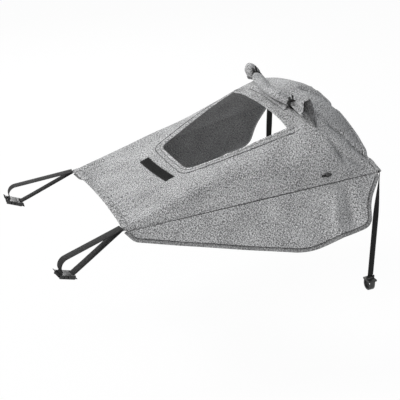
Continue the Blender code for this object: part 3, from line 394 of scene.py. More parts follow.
def distances(path):
    """The distance walked along a path, at each of its points."""
    return np.concatenate(([0.0], np.cumsum(np.linalg.norm(np.diff(path, axis=0), axis=1))))


def at_distances(path, walk, wanted):
    """Points of a path at wanted distances along it."""
    return np.stack([np.interp(wanted, walk, path[:, i]) for i in range(path.shape[1])], -1)


def resample(path, count):
    """count + 1 points at equal distances along a path."""
    path = np.asarray(path, float)
    walk = distances(path)
    return at_distances(path, walk, np.linspace(0.0, walk[-1], count + 1))


def window_outline(inset=0.0):
    """Half the window's edge in three spans: front, side and rear, as (x, y) points."""
    front = WINDOW_FRONT + inset
    rear = WINDOW_REAR - inset
    x = np.linspace(front, rear, 49)
    side = np.stack((x, through(WINDOW_STATIONS, x) - inset), -1)
    front_middle = np.array((front, 0.0))
    rear_middle = np.array((rear, 0.0))
    front_turn = curve_turn(front_middle, side[0], side[4], WINDOW_FRONT_CORNER, 16)
    rear_turn = curve_turn(side[-4], side[-1], rear_middle, WINDOW_REAR_CORNER, 8)
    inner = side[(side[:, 0] > front_turn[-1, 0]) & (side[:, 0] < rear_turn[0, 0])]
    return (
        np.concatenate(([front_middle], front_turn[:9])),
        np.concatenate((front_turn[8:], inner, rear_turn[:5])),
        np.concatenate((rear_turn[4:], [rear_middle])),
    )


def distance_to(x, y, line):
    """The distance from points to a line of points."""
    spots = np.stack((np.ravel(x), np.ravel(y)), -1)
    best = np.full(len(spots), 1e9)
    for a, b in zip(line[:-1], line[1:]):
        run = b - a
        f = np.clip(((spots - a) @ run) / max(run @ run, 1e-12), 0.0, 1.0)
        best = np.minimum(best, np.linalg.norm(spots - a - f[:, None] * run, axis=1))
    return best.reshape(np.shape(x))


WINDOW_EDGE = np.concatenate(window_outline())
print("window", round((WINDOW_REAR - WINDOW_FRONT) * 1000), "mm long")

# %% Gathers, creases and sag
# each crease: its start, its end, its height (a valley is negative) and its width
CREASES = (
    ((0.512, 0.046), (0.552, -0.002), -0.0072, 0.0067),
    ((0.552, -0.002), (0.577, -0.030), -0.0061, 0.0059),
    ((0.494, -0.028), (0.546, -0.063), -0.0081, 0.0072),
    ((0.546, -0.063), (0.577, -0.096), -0.0072, 0.0063),
    ((0.500, -0.050), (0.546, -0.058), 0.0020, 0.0060),
    ((0.492, -0.158), (0.532, -0.184), -0.0072, 0.0067),
    ((0.528, -0.190), (0.577, -0.217), -0.0075, 0.0063),
    ((0.478, -0.187), (0.507, -0.221), -0.0067, 0.0059),
    ((0.492, -0.206), (0.567, -0.236), -0.0072, 0.0059),
    ((0.450, -0.206), (0.500, -0.196), 0.0018, 0.0065),
    ((0.020, -0.150), (0.120, -0.118), -0.0022, 0.0060),
    ((0.020, -0.128), (0.080, -0.100), -0.0018, 0.0050),
    ((0.020, 0.150), (0.110, 0.120), -0.0020, 0.0060),
    ((0.156, -0.030), (0.182, -0.052), 0.0014, 0.0040),
    ((0.156, 0.034), (0.180, 0.052), 0.0012, 0.0040),
    ((0.500, 0.160), (0.570, 0.205), -0.0041, 0.0063),
    ((0.485, 0.120), (0.560, 0.150), -0.0035, 0.0063),
)


GATHER = 0.0088
FRONT_SEED = 0.6


def crease(x, y, start, end, depth, width):
    """A soft valley or ridge along a line, which fades at its ends."""
    run = np.subtract(end, start)
    length = np.hypot(*run)
    along = ((x - start[0]) * run[0] + (y - start[1]) * run[1]) / length ** 2
    off = ((x - start[0]) * run[1] - (y - start[1]) * run[0]) / length
    fade = np.clip(1.0 - np.abs(2 * along - 1) ** 3 / 1.4, 0.0, 1.0)
    return depth * np.exp(-(off / width) ** 2) * smooth(fade)


def gathers(place, spacing, seed):
    """Uneven gathers along an edge: broad ridges between narrow valleys, about -1.5 to 0.5."""
    beat = place / spacing
    wander = 0.9 * np.sin(beat * 0.83 + seed) + 0.5 * np.sin(beat * 2.1 + 2.7 * seed)
    size = 0.62 + 0.38 * np.sin(beat * 0.57 + 1.7 * seed)
    return size * (2.0 * np.abs(np.sin(np.pi * beat + 0.5 * wander)) ** 0.6 - 1.5)


def front_gathers(y):
    """The gathers at the front hem, stronger towards the right corner."""
    return gathers(y, GATHER, FRONT_SEED) * (0.70 - 0.85 * np.clip(y, -FRONT_HALF, 0.0) / FRONT_HALF)


def drape(x, y):
    """How far the cloth stands out from its rule, in metres."""
    t = np.abs(share_at(x, y))
    into = np.maximum(x - front_edge(t), 0.0)
    height = 0.0027 * front_gathers(y) * np.exp(-(into / 0.027) ** 1.4)
    height = height + 0.0019 * gathers(y + 0.1 * x, 0.021, 2.1) * np.exp(-(into / 0.090) ** 2)
    sag = np.sin(31 * x + 17 * y + 0.4) * np.sin(23 * y - 9 * x + 1.1)
    height = height + 0.0012 * (sag - 0.6) * smooth(into / 0.05)
    for start, end, depth, width in CREASES:
        height = height + crease(x, y, start, end, depth, width)
    # the edge of the window is doubled, with a groove where it is sewn down
    edge = distance_to(x, np.abs(y), WINDOW_EDGE)
    height = height * (0.25 + 0.75 * smooth(edge / 0.03))
    turned = 0.00100 * (1.0 - smooth((edge - WINDOW_TURN) / 0.0009))
    height = height + turned - 0.00105 * np.exp(-((edge - WINDOW_STITCH) / 0.0009) ** 2)
    # ridges stay low under the roll, and beside the fold lines, where a folded wing lies
    behind = smooth((x - 0.400) / 0.02) * (1.0 - smooth((x - 0.485) / 0.02))
    behind = behind * (1.0 - smooth((np.abs(y) - 0.16) / 0.03))
    height = np.where(height > 0, height * (1.0 - 0.9 * behind), height)
    seam = -0.0016 * np.exp(-((1.0 - t) / 0.006) ** 2)
    return height * smooth((1.0 - t) / np.where(height > 0, 0.16, 0.035)) + seam


def surface(x, y, lift=0.0):
    """Points on the draped cloth over (x, y), lifted along its normal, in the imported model's frame."""
    x, y = np.broadcast_arrays(np.asarray(x, float), np.asarray(y, float))
    t = share_at(x, y)
    return plain_cloth(x, t) + cloth_normal(x, t) * (drape(x, y) + lift)[..., None] - SEAT


print("deepest crease", round(min(c[2] for c in CREASES) * -1000, 1), "mm")

# %% [markdown]
# ## Finishes
# The cloth is a grey melange: light and dark fibres are spun together, so that it looks speckled from far
# away and shows a plain weave from close by. Each sheet carries a UV map in metres, along and across the
# cloth, so that the speckle and the weave have their true size. Webbing and elastic have ribs across
# their length, and the plastic has a fine moulded grain. Everything is made from noise and wave nodes,
# and the melange also gets painted shade: an ambient occlusion node darkens its colour in creases.

# %% Helpers for materials
def new_finish(name):
    """A material with its Principled shader; returns (material, tree, shader)."""
    material = bpy.data.materials.new(name)
    material.use_nodes = True
    return material, material.node_tree, material.node_tree.nodes["Principled BSDF"]


def dress(tree, shader, colour, relief, strength, distance, **values):
    """Give a shader its colour, its bump and its plain values."""
    tree.links.new(colour, shader.inputs["Base Color"])
    bump = node(tree, "ShaderNodeBump", {"Height": relief, "Strength": strength, "Distance": distance})
    tree.links.new(bump.outputs[0], shader.inputs["Normal"])
    for key, value in values.items():
        shader.inputs[key.replace("_", " ")].default_value = value


def cloth_place(tree, scale=(1.0, 1.0, 1.0)):
    """The piece's own UV in metres, scaled."""
    uv = node(tree, "ShaderNodeUVMap", uv_map="cloth")
    return node(tree, "ShaderNodeMapping", {"Vector": uv.outputs["UV"], "Scale": scale}).outputs[0]


def speckle(tree, place, scale, detail=2.0, rough=0.6, dims="2D"):
    inputs = {"Vector": place, "Scale": scale, "Detail": detail, "Roughness": rough}
    return node(tree, "ShaderNodeTexNoise", inputs, noise_dimensions=dims).outputs[0]


def bands(tree, place, pitch, direction):
    """Threads side by side, light and dark in turn; the wave texture's own period is part of its scale."""
    inputs = {"Vector": place, "Scale": 1 / pitch / 6.2, "Distortion": 0.6, "Detail": 1.0}
    return node(tree, "ShaderNodeTexWave", inputs, bands_direction=direction).outputs[1]


def blend(tree, *parts):
    """The sum of (value, share) pairs."""
    total = maths(tree, "MULTIPLY", *parts[0])
    for value, share in parts[1:]:
        total = maths(tree, "ADD", total, maths(tree, "MULTIPLY", value, share))
    return total


def ramp(tree, value, stops):
    """A colour ramp from (place, colour) stops."""
    made = node(tree, "ShaderNodeValToRGB", {"Fac": value})
    bar = made.color_ramp
    while len(bar.elements) < len(stops):
        bar.elements.new(0.5)
    for element, (place, colour) in zip(bar.elements, stops):
        element.position = place
        element.color = (*colour, 1.0)
    return made.outputs[0]


def grey(value):
    return (value, value, value)


print("helpers for finishes ready")


# %% Melange cloth
def melange(name, dark, middle, light, weave=0.00035):
    """Speckled grey cloth: short fibres along both threads, over a plain weave, with painted shade in its
    creases.
    """
    material, tree, shader = new_finish(name)
    along = cloth_place(tree, (0.34, 1.0, 1.0))
    across = cloth_place(tree, (1.0, 0.38, 1.0))
    plain = cloth_place(tree)
    warp, weft = speckle(tree, along, 760.0, rough=0.65), speckle(tree, across, 650.0, rough=0.65)
    coarse = maths(tree, "ADD", warp, weft)
    fine = speckle(tree, plain, 1500.0, 1.0, 0.5)
    cloudy = maths(tree, "SUBTRACT", speckle(tree, plain, 16.0, 3.0, 0.55), 0.5)
    tone = blend(tree, (coarse, 0.38), (fine, 0.24), (cloudy, 0.07))
    colour = ramp(tree, tone, ((0.432, dark), (0.495, middle), (0.56, light)))
    # painted shade: an ambient occlusion node darkens the colour in creases and hollows, so that a pleat
    # reads as a darker line
    deep = node(tree, "ShaderNodeAmbientOcclusion", {"Color": colour, "Distance": 0.007}, samples=6)
    threads = maths(tree, "ADD", bands(tree, plain, weave, "X"), bands(tree, plain, weave, "Y"))
    relief = blend(tree, (threads, 0.3), (coarse, 0.5))
    dress(tree, shader, deep.outputs["Color"], relief, 0.55, 0.0004,
          Roughness=0.95, Specular_IOR_Level=0.15, Sheen_Weight=0.12, Sheen_Roughness=0.6)
    return material


heather = melange("grey melange cloth", grey(0.055), grey(0.275), grey(0.74))
# the inner face is a darker copy of the melange: partly the darker back of the real cloth, partly painted
# shade for the hollow under the cloth
lining = melange("inner face of the cloth, partly painted shade", grey(0.035), grey(0.105), grey(0.24))
bound = melange("melange binding", grey(0.060), grey(0.200), grey(0.44))
# painted shade: a near-black melange for the fine cords that stand for the shade in seam grooves and along
# turned hems
seam_shadow_finish = melange("painted seam shadow", grey(0.020), grey(0.045), grey(0.09))
print("melange, lining, binding and seam")


# %% Webbing, elastic and hook tape
def ribbed(name, dark, light, pitch, depth, rough=0.8):
    """Narrow woven goods: ribs across the length, with a finer thread along it."""
    material, tree, shader = new_finish(name)
    plain = cloth_place(tree)
    ribs = bands(tree, plain, pitch, "X")
    threads = bands(tree, plain, pitch * 0.8, "Y")
    fibre = speckle(tree, plain, 1400.0, 2.0, 0.6)
    worn = speckle(tree, plain, 60.0, 3.0, 0.6)
    colour = ramp(tree, blend(tree, (ribs, 0.45), (fibre, 0.4), (worn, 0.25)), ((0.25, dark), (0.85, light)))
    dress(tree, shader, colour, blend(tree, (ribs, 1.0), (threads, 0.5)), 0.7, depth,
          Roughness=rough, Specular_IOR_Level=0.3)
    return material


webbing = ribbed("black webbing", grey(0.005), grey(0.021), 0.0012, 0.0004)
elastic = ribbed("black elastic", grey(0.005), grey(0.020), 0.0010, 0.0003, 0.88)
hook_tape = ribbed("hook tape", grey(0.006), grey(0.024), 0.0008, 0.0002, 0.95)
print("webbing, elastic and hook tape")


# %% Thread and plastic
def shaded(colour, factor):
    return tuple(part * factor for part in colour)


def thread_finish(name, colour):
    """Twisted sewing thread."""
    material, tree, shader = new_finish(name)
    place = node(tree, "ShaderNodeTexCoord").outputs["Object"]
    twist = speckle(tree, place, 2600.0, 1.0, 0.5, "3D")
    shade = ramp(tree, twist, ((0.3, shaded(colour, 0.6)), (0.7, colour)))
    dress(tree, shader, shade, twist, 0.4, 0.0001, Roughness=0.7)
    return material


def moulded(name, colour, rough):
    """Injection-moulded plastic with a fine grain and slightly uneven gloss."""
    material, tree, shader = new_finish(name)
    place = node(tree, "ShaderNodeTexCoord").outputs["Object"]
    grain = speckle(tree, place, 1800.0, 2.0, 0.6, "3D")
    cloud = speckle(tree, place, 120.0, 2.0, 0.5, "3D")
    shade = ramp(tree, cloud, ((0.3, colour), (0.75, shaded(colour, 1.7))))
    dress(tree, shader, shade, grain, 0.25, 0.00012)
    gloss = node(tree, "ShaderNodeMapRange", {"Value": cloud, "To Min": rough - 0.07, "To Max": rough + 0.10})
    tree.links.new(gloss.outputs[0], shader.inputs["Roughness"])
    return material


grey_thread = thread_finish("grey thread", grey(0.075))
black_thread = thread_finish("black thread", grey(0.020))
plastic = moulded("black moulded plastic", grey(0.008), 0.42)
print("thread and plastic")

# %% [markdown]
# ## From points to pieces
# Every cloth piece starts as a grid of points: rows along the piece and columns across it. The grid gets
# its UV in metres from the walked distances. An open sheet gets its thickness to both sides from
# Solidify, with a second material for its inner face, and a tube is shut at both ends.

# %% Mesh helpers
def grid_faces(rows, columns, closed_rows=False, closed_columns=False):
    """Quads between neighbouring points of a grid, as indices."""
    i = np.arange(rows if closed_rows else rows - 1)
    j = np.arange(columns if closed_columns else columns - 1)
    i, j = np.meshgrid(i, j, indexing="ij")
    n = (i + 1) % rows
    m = (j + 1) % columns
    quads = np.stack((i * columns + j, n * columns + j, n * columns + m, i * columns + m), -1)
    return quads.reshape(-1, 4)


def tube_faces(rows, columns):
    """Faces of a tube of rings that is shut at both ends."""
    faces = list(map(tuple, grid_faces(rows, columns, closed_columns=True)))
    last = (rows - 1) * columns
    return faces + [tuple(range(columns))[::-1], tuple(range(last, last + columns))]


def uv_grid(along, across):
    """The UV in metres of a grid, from its distances along and across."""
    return np.stack(np.broadcast_arrays(np.asarray(along)[:, None], np.asarray(across)[None, :]), -1)


def rings_on(path, across, up, x, z):
    """Rings of points along a path, with x counted across it and z up from it."""
    return path[:, None] + across[:, None] * x[..., None] + up[:, None] * z[..., None]


def piece_from(name, points, faces, materials, uv=None):
    """A smooth-shaded mesh object from points, faces and one (u, v) a point."""
    points = np.asarray(points, float).reshape(-1, 3)
    mesh = bpy.data.meshes.new(name)
    mesh.from_pydata(points.tolist(), [], [tuple(int(i) for i in face) for face in faces])
    if uv is not None:
        uv = np.asarray(uv, float).reshape(-1, 2)
        layer = mesh.uv_layers.new(name="cloth")
        corners = np.empty(len(mesh.loops), np.int32)
        mesh.loops.foreach_get("vertex_index", corners)
        layer.data.foreach_set("uv", uv[corners].astype(np.float32).ravel())
    for material in materials:
        mesh.materials.append(material)
    mesh.shade_smooth()
    return add(name, mesh)


def closed_piece(name, points, faces, material, uv):
    """A closed form with its faces turned outwards."""
    piece = piece_from(name, points, faces, [material], uv)
    work = bmesh.new()
    work.from_mesh(piece.data)
    bmesh.ops.recalc_face_normals(work, faces=work.faces)
    work.to_mesh(piece.data)
    work.free()
    return piece


def tube(name, rings, material, uv):
    return closed_piece(name, rings, tube_faces(*rings.shape[:2]), material, uv)


def plain_mesh(piece, **keep):
    """The mesh of a piece with its modifiers applied."""
    bpy.context.view_layer.update()
    graph = bpy.context.evaluated_depsgraph_get()
    return bpy.data.meshes.new_from_object(piece.evaluated_get(graph), depsgraph=graph, **keep)


def settle(piece):
    """Apply a piece's modifiers, so that what is left is a plain mesh."""
    plain = plain_mesh(piece, preserve_all_data_layers=True)
    old = piece.data
    piece.modifiers.clear()
    piece.data = plain
    plain.name = piece.name
    bpy.data.meshes.remove(old)
    return piece


def thicken(piece, thickness, inner=0):
    """Give a sheet its thickness to both sides; inner is the step to its inner face's material."""
    solid = piece.modifiers.new("thickness", "SOLIDIFY")
    solid.thickness = thickness
    solid.offset = 0.0
    solid.material_offset = inner
    solid.material_offset_rim = 0
    return settle(piece)


def finish_piece(piece, body, slot, *nodes):
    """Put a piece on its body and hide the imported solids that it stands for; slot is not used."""
    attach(piece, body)
    if nodes:
        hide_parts(*nodes)
    low = np.array([v.co for v in piece.data.vertices]).min(0)
    high = np.array([v.co for v in piece.data.vertices]).max(0)
    print(piece.name, len(piece.data.polygons), "faces,", np.round((high - low) * 1000), "mm")
    return piece


def half_area(piece):
    """The area of one face of a thickened sheet."""
    return sum(face.area for face in piece.data.polygons) / 2


# %% [markdown]
# ## The panel
# The panel is one sheet with the window cut out of it. Spokes run from the window's edge to the outer
# edge, all the way round, and rings cross them. The rings lie closer together near the window, where the
# cloth is turned over and stitched. The outer edge slips under the hems, and along the sides it stops at
# the fold line, where the wing is sewn on.

# %% Panel of cloth
HEM_WIDTH = 0.014
HEM_COVER = 0.0050
REAR_HEM_WIDTH = 0.010
REAR_HEM_COVER = 0.001
FOLD_GAP = 0.00025
SPANS = (72, 130, 84)
RINGS = 54


def outer_edge():
    """Half of the panel's outer edge as (x, t), in the same three spans as the window."""
    t = np.linspace(0.0, 1.0, SPANS[0] + 1)
    front = np.stack((front_edge(t) + HEM_WIDTH - HEM_COVER, t), -1)
    end = float(rear_edge(np.array(1.0))) - REAR_HEM_WIDTH + REAR_HEM_COVER
    x = np.linspace(front[-1, 0], end, SPANS[1] + 1)
    side = np.stack((x, np.ones_like(x)), -1)
    t = np.linspace(1.0, 0.0, SPANS[2] + 1)
    rear = np.stack((rear_edge(t) - REAR_HEM_WIDTH + REAR_HEM_COVER, t), -1)
    return np.concatenate((front[:-1], side[:-1], rear))


def panel_rings():
    """(x, t) of every point of the panel, spokes by rings."""
    parts = [resample(span, count)[:-1] for span, count in zip(window_outline(), SPANS)]
    inner = np.concatenate(parts + [[(WINDOW_REAR, 0.0)]])
    inner[:, 1] = share_at(inner[:, 0], np.maximum(inner[:, 1], 0.0))
    outer = outer_edge()
    mirror = np.array((1.0, -1.0))
    inner = np.concatenate((inner, inner[-2:0:-1] * mirror))
    outer = np.concatenate((outer, outer[-2:0:-1] * mirror))
    f = (np.arange(RINGS + 1) / RINGS) ** 1.35
    return inner[:, None] + (outer - inner)[:, None] * f[None, :, None]


def cross_distance(x, t):
    """The distance along the cloth from the middle, as the weave's second coordinate."""
    shares = np.linspace(0.0, 1.0, 25)
    spots = cross_section(x[..., None], np.abs(t)[..., None] * shares)
    return np.copysign(np.linalg.norm(np.diff(spots, axis=-2), axis=-1).sum(-1), t)


def make_panel():
    rings = panel_rings()
    x, t = rings[..., 0], np.clip(rings[..., 1], -1.0, 1.0)
    base = plain_cloth(x, t)
    points = base + cloth_normal(x, t) * drape(x, base[..., 1])[..., None] - SEAT
    faces = grid_faces(points.shape[0], points.shape[1], closed_rows=True)
    uv = np.stack((x, cross_distance(x, t)), -1)
    piece = piece_from("canopy_cloth", points, faces, [heather, lining], uv)
    thicken(piece, CLOTH, inner=1)
    return finish_piece(piece, "canopy", "heather_cloth", "top_panel")


panel = make_panel()
print("panel cloth", round(half_area(panel), 4), "square metres")

# %% [markdown]
# ## Hems and the gathered band
# Elastic runs inside the front hem, the band behind the window and the rear hem, and draws the cloth into
# gathers. Each casing is a soft tube that follows a line on the draped cloth. Its outline is flat with a
# round front and a thin back, where it is stitched to the panel, and ripples along it make the gathers.

# %% Casings
HEM_OUTLINE = (
    (-1.0, 0.0), (-0.93, 0.52), (-0.72, 0.86), (-0.35, 1.0),
    (0.1, 0.92), (0.55, 0.66), (0.85, 0.40), (1.0, 0.20),
)
RIBBON_OUTLINE = np.array((
    (-1, -0.6), (-0.9, -1), (0.9, -1), (1, -0.6), (1, 0.6), (0.9, 1), (-0.9, 1), (-1, 0.6),
))
HEM_THICK = 0.0046
BAND_THICK = 0.0056
REAR_HEM_THICK = 0.0044
ELASTIC_THICK = 0.0012


def cloth_line(plan):
    """(points, across, up, distances) of a plan line that is laid on the draped cloth."""
    centre = surface(plan[:, 0], plan[:, 1])
    run = unit(np.gradient(centre, axis=0))
    up = surface(plan[:, 0], plan[:, 1], 0.01) - centre
    up = unit(up - run * (up * run).sum(-1, keepdims=True))
    return centre, np.cross(run, up), up, distances(centre)


def casing(name, plan, width, thick, ripple, spacing, seed, node_name, flip=1.0):
    """A tube of cloth along a plan line, thin at its back and at both ends."""
    centre, across, up, along = cloth_line(plan)
    half = list(HEM_OUTLINE)
    a, b = np.array(half + [(a, -b * 0.9) for a, b in reversed(half[1:])]).T
    wave = gathers(along, spacing, seed)[:, None]
    fine = gathers(along, spacing * 0.43, seed + 1.3)[:, None]
    tall = thick / 2 * (1.0 + ripple * wave + 0.4 * ripple * fine)
    tilt = 0.00055 * gathers(along + 0.3 * spacing, spacing, seed)[:, None] * ripple / 0.3
    ends = np.minimum(along, along[-1] - along)[:, None]
    closing = 0.25 + 0.75 * smooth(ends / 0.004)
    x = flip * a[None, :] * width / 2 * (1.0 - 0.02 * wave)
    z = b[None, :] * tall * closing + tilt * (1 - np.abs(a))[None, :]
    piece = tube(name, rings_on(centre, across, up, x, z), heather, uv_grid(along, a * width / 2))
    return finish_piece(piece, "canopy", "heather_cloth", node_name)


def elastic_inside(name, plan, width, node_name):
    """The flat elastic inside a casing."""
    centre, across, up, along = cloth_line(plan)
    x = RIBBON_OUTLINE[:, 0] * width / 2
    z = RIBBON_OUTLINE[:, 1] * ELASTIC_THICK / 2
    piece = tube(name, rings_on(centre, across, up, x[None], z[None]), elastic, uv_grid(along, x))
    return finish_piece(piece, "canopy", "elastic", node_name)


front_y = np.linspace(-FRONT_HALF - 0.0030, FRONT_HALF + 0.0030, 601)
front_line = np.stack((front_edge(front_y / FRONT_HALF) + HEM_WIDTH / 2, front_y), -1)
front_casing = casing("front_hem_cloth", front_line, HEM_WIDTH, HEM_THICK, 0.38, GATHER, FRONT_SEED,
                      "front_hem")
elastic_inside("front_hem_elastic", front_line[4:-4], 0.008, "front_elastic")

# %% Band behind the window and rear hem
band_x = WINDOW_REAR + 0.0016 - BAND_WIDTH / 2
band_half = float(through(WINDOW_STATIONS, band_x)) + 0.0012
band_line = np.stack((np.full(601, band_x), np.linspace(-band_half, band_half, 601)), -1)
band = casing("gathered_band", band_line, BAND_WIDTH + 0.0020, BAND_THICK, 0.50, GATHER, 1.9, "ruched_band")
elastic_inside("gathered_band_elastic", band_line[4:-4], 0.010, "band_elastic")
rear_t = np.linspace(-0.998, 0.998, 361)
rear_x = rear_edge(rear_t) - REAR_HEM_WIDTH / 2
rear_line = np.stack((rear_x, plain_cloth(rear_x, rear_t)[:, 1]), -1)
rear_casing = casing("rear_hem_cloth", rear_line, REAR_HEM_WIDTH, REAR_HEM_THICK, 0.22, 0.011, 3.1,
                     "rear_hem", flip=-1.0)
elastic_inside("rear_hem_elastic", rear_line[4:-4], 0.005, "rear_elastic")

# %% [markdown]
# ## The window's rim
# The cloth is turned over round the window and a narrow bound edge finishes it. It is a thin soft tube
# along the outline, broad towards the opening. Small ripples show that it was sewn round a curve.

# %% Window rim
RIM_INSET = GAP + 0.002 + CLOTH / 4
RIM_OUT = 0.0021
RIM_IN = RIM_OUT * 2.6
RIM_HALF = 0.0014


def make_rim():
    stop = WINDOW_REAR - 2 * GAP - BAND_WIDTH + 0.007
    front, side, _ = window_outline(RIM_INSET)
    side = side[side[:, 0] < stop - 0.002]
    end = (stop, float(through(WINDOW_STATIONS, stop)) - RIM_INSET)
    half = resample(np.concatenate((front[:-1], side, [end])), 220)
    centre, across, up, along = cloth_line(np.concatenate((half[::-1] * (1.0, -1.0), half[1:])))
    angle = 2 * np.pi * (np.arange(12) + 0.5) / 12
    inward = np.cos(angle) > 0
    full = 1.0 + 0.10 * gathers(along, 0.006, 0.9)[:, None]
    wide = np.cos(angle) * np.where(inward, RIM_IN, RIM_OUT)
    tall = RIM_HALF * np.sin(angle) * np.where(inward, 1.0, 0.9)
    rings = rings_on(centre, across, up, wide[None] * full, (tall[None] + 0.0003) * full)
    piece = tube("window_rim", rings, heather, uv_grid(along, 0.0017 * angle))
    return finish_piece(piece, "canopy", "binding_cloth", "window_binding")


rim = make_rim()

# %% [markdown]
# ## The wings
# Each wing is cut in one piece and hangs from the fold line. The near one is flared outwards and the far
# one hangs steeper. Both belly a little and have one deep soft fold near the rear. The wing's own places
# are measured along the fold line and down from it. Its edge is bound with a hem that is stitched all
# round.

# %% Wing shape
WING_FLARE = {1: math.radians(13.0), -1: math.radians(45.0)}
WING_HEM = 0.008
WING_HEM_THICK = 0.0024
WING_PEAK_DEPTH = 0.138
WING_CORNERS = (
    ((0.004, 0.0015), 0.0), ((0.020, 0.026), 0.010), ((LENGTH * 0.639, WING_PEAK_DEPTH), 0.035),
    ((LENGTH - 0.053, 0.113), 0.022), ((LENGTH - 0.038, 0.058), 0.022), ((LENGTH - 0.001, 0.010), 0.006),
    ((LENGTH - 0.001, 0.0015), 0.0),
)
WING_BELLY = 0.005
WING_VALLEY = 0.009
WING_VALLEY_PLACE = LENGTH * 0.782
# as for the creases: start, end, height and width, in the wing's own places
WING_FOLDS = (
    ((0.474, 0.012), (0.446, 0.118), 0.0030, 0.010),
    ((0.503, 0.010), (0.492, 0.104), -0.0080, 0.012),
    ((0.520, 0.012), (0.512, 0.060), 0.0022, 0.009),
    ((0.030, 0.004), (0.150, 0.052), -0.0016, 0.010),
    ((0.120, 0.020), (0.330, 0.085), -0.0018, 0.022),
    ((0.390, 0.020), (0.360, 0.110), 0.0020, 0.022),
)


def fold_line(side):
    """(start, direction, outward, inner normal) of a wing's fold line."""
    start = np.array((0.0, side * FOLD_FRONT[0], FOLD_FRONT[1]))
    end = np.array((LENGTH, side * FOLD_REAR[0], FOLD_REAR[1]))
    along = unit(end - start)
    out = np.array((0.0, side * math.sin(WING_FLARE[side]), -math.cos(WING_FLARE[side])))
    out = unit(out - along * (out @ along))
    return start, along, out, unit(np.cross(along, out) * -side)


def wing_rise(along, depth):
    """How far the wing stands in from its flat cut: its belly, its fold and its small creases."""
    share = np.clip(depth / WING_PEAK_DEPTH, 0.0, 1.0)
    belly = WING_BELLY * np.sin(np.pi * np.clip(along / LENGTH, 0.0, 1.0)) * np.sin(np.pi * share)
    valley = WING_VALLEY * share * np.exp(-((along - WING_VALLEY_PLACE) / 0.020) ** 2)
    small = 0.0
    for start, end, height, width in WING_FOLDS:
        small = small + crease(along, depth, start, end, height, width)
    sag = 0.0008 * np.sin(37 * along + 21 * depth) * np.sin(44 * depth - 13 * along + 0.7)
    return belly - valley - (small + sag) * smooth(depth / 0.015)


def wing_surface(side, along, depth, lift=0.0):
    """Points of a wing; a positive lift is towards its inner face."""
    start, run, out, normal = fold_line(side)
    along, depth = np.broadcast_arrays(np.asarray(along, float), np.asarray(depth, float))
    rise = wing_rise(along, depth) + lift
    return start + run * along[..., None] + out * depth[..., None] + normal * rise[..., None] - SEAT


def wing_rim(count):
    """Places round the wing's edge from front to rear, and the way inwards at each."""
    path = []
    for i, (corner, radius) in enumerate(WING_CORNERS):
        corner = np.array(corner)
        if radius == 0.0:
            path.append(corner[None])
        else:
            before, after = np.array(WING_CORNERS[i - 1][0]), np.array(WING_CORNERS[i + 1][0])
            path.append(curve_turn(before, corner, after, radius, 14))
    path = resample(np.concatenate(path), count)
    run = unit(np.gradient(path, axis=0))
    inward = np.stack((run[:, 1], -run[:, 0]), -1)
    inward[0] = (1.0, 0.0)
    inward[-1] = (-1.0, 0.0)
    return path, inward


print("the wings flare", [round(math.degrees(WING_FLARE[way])) for _, way in SIDES], "degrees")

# %% Wing cloth
WING_HEM_OUTLINE = np.array((
    (0.0, 0.0), (0.04, 0.6), (0.16, 0.95), (0.45, 1.0), (0.68, 0.80), (0.76, 0.62), (0.85, 0.82), (1.0, 0.55),
))


def make_wing(name, side):
    """The wing's sheet, from the fold line to its hem."""
    columns, rows = 230, 46
    path, inward = wing_rim(columns)
    edge = path + inward * (WING_HEM - 0.0012)
    f = np.linspace(0.0, 1.0, columns + 1)
    root = np.stack((edge[0, 0] + (edge[-1, 0] - edge[0, 0]) * f, np.full_like(f, FOLD_GAP)), -1)
    share = np.linspace(0.0, 1.0, rows + 1)[None, :, None]
    place = root[:, None] + (edge - root)[:, None] * share
    points = wing_surface(side, place[..., 0], place[..., 1])
    faces = grid_faces(columns + 1, rows + 1)
    if side < 0:
        faces = faces[:, ::-1]
    piece = piece_from(name + "_wing_cloth", points, faces, [heather, lining], place)
    thicken(piece, CLOTH, inner=1)
    return finish_piece(piece, name + "_side_wing", "heather_cloth", name + "_wing")


def make_wing_hem(name, side):
    """The bound hem round the wing, a flat tube with a groove for its stitches."""
    path, inward = wing_rim(420)
    walk = distances(path)
    outline = np.concatenate((WING_HEM_OUTLINE, WING_HEM_OUTLINE[:0:-1] * (1.0, -1.0)))
    pucker = 1.0 + 0.10 * gathers(walk, 0.007, 0.4)[:, None]
    wide = outline[:, 0] * WING_HEM
    place = path[:, None] + inward[:, None] * wide[None, :, None]
    tall = outline[:, 1][None] * WING_HEM_THICK / 2 * pucker
    rings = wing_surface(side, place[..., 0], place[..., 1], tall)
    piece = tube(name + "_wing_hem", rings, bound, uv_grid(walk, wide))
    return finish_piece(piece, name + "_side_wing", "binding_cloth", name + "_wing_binding")


wings, wing_hems = {}, {}
for side_name, way in SIDES:
    wings[side_name] = make_wing(side_name, way)
    wing_hems[side_name] = make_wing_hem(side_name, way)

# %% [markdown]
# ## The rolled flap
# A flap of cloth shuts the window in bad weather. Here it is rolled up behind the window and tied near
# both ends. It is modelled as it is made: one sheet that winds nearly four turns round itself. The left
# end stays a fat lobe beyond its tie, and the right end opens out like a bow. Key frames give the roll's
# middle and its two half widths at each station, and a smooth curve runs through them.

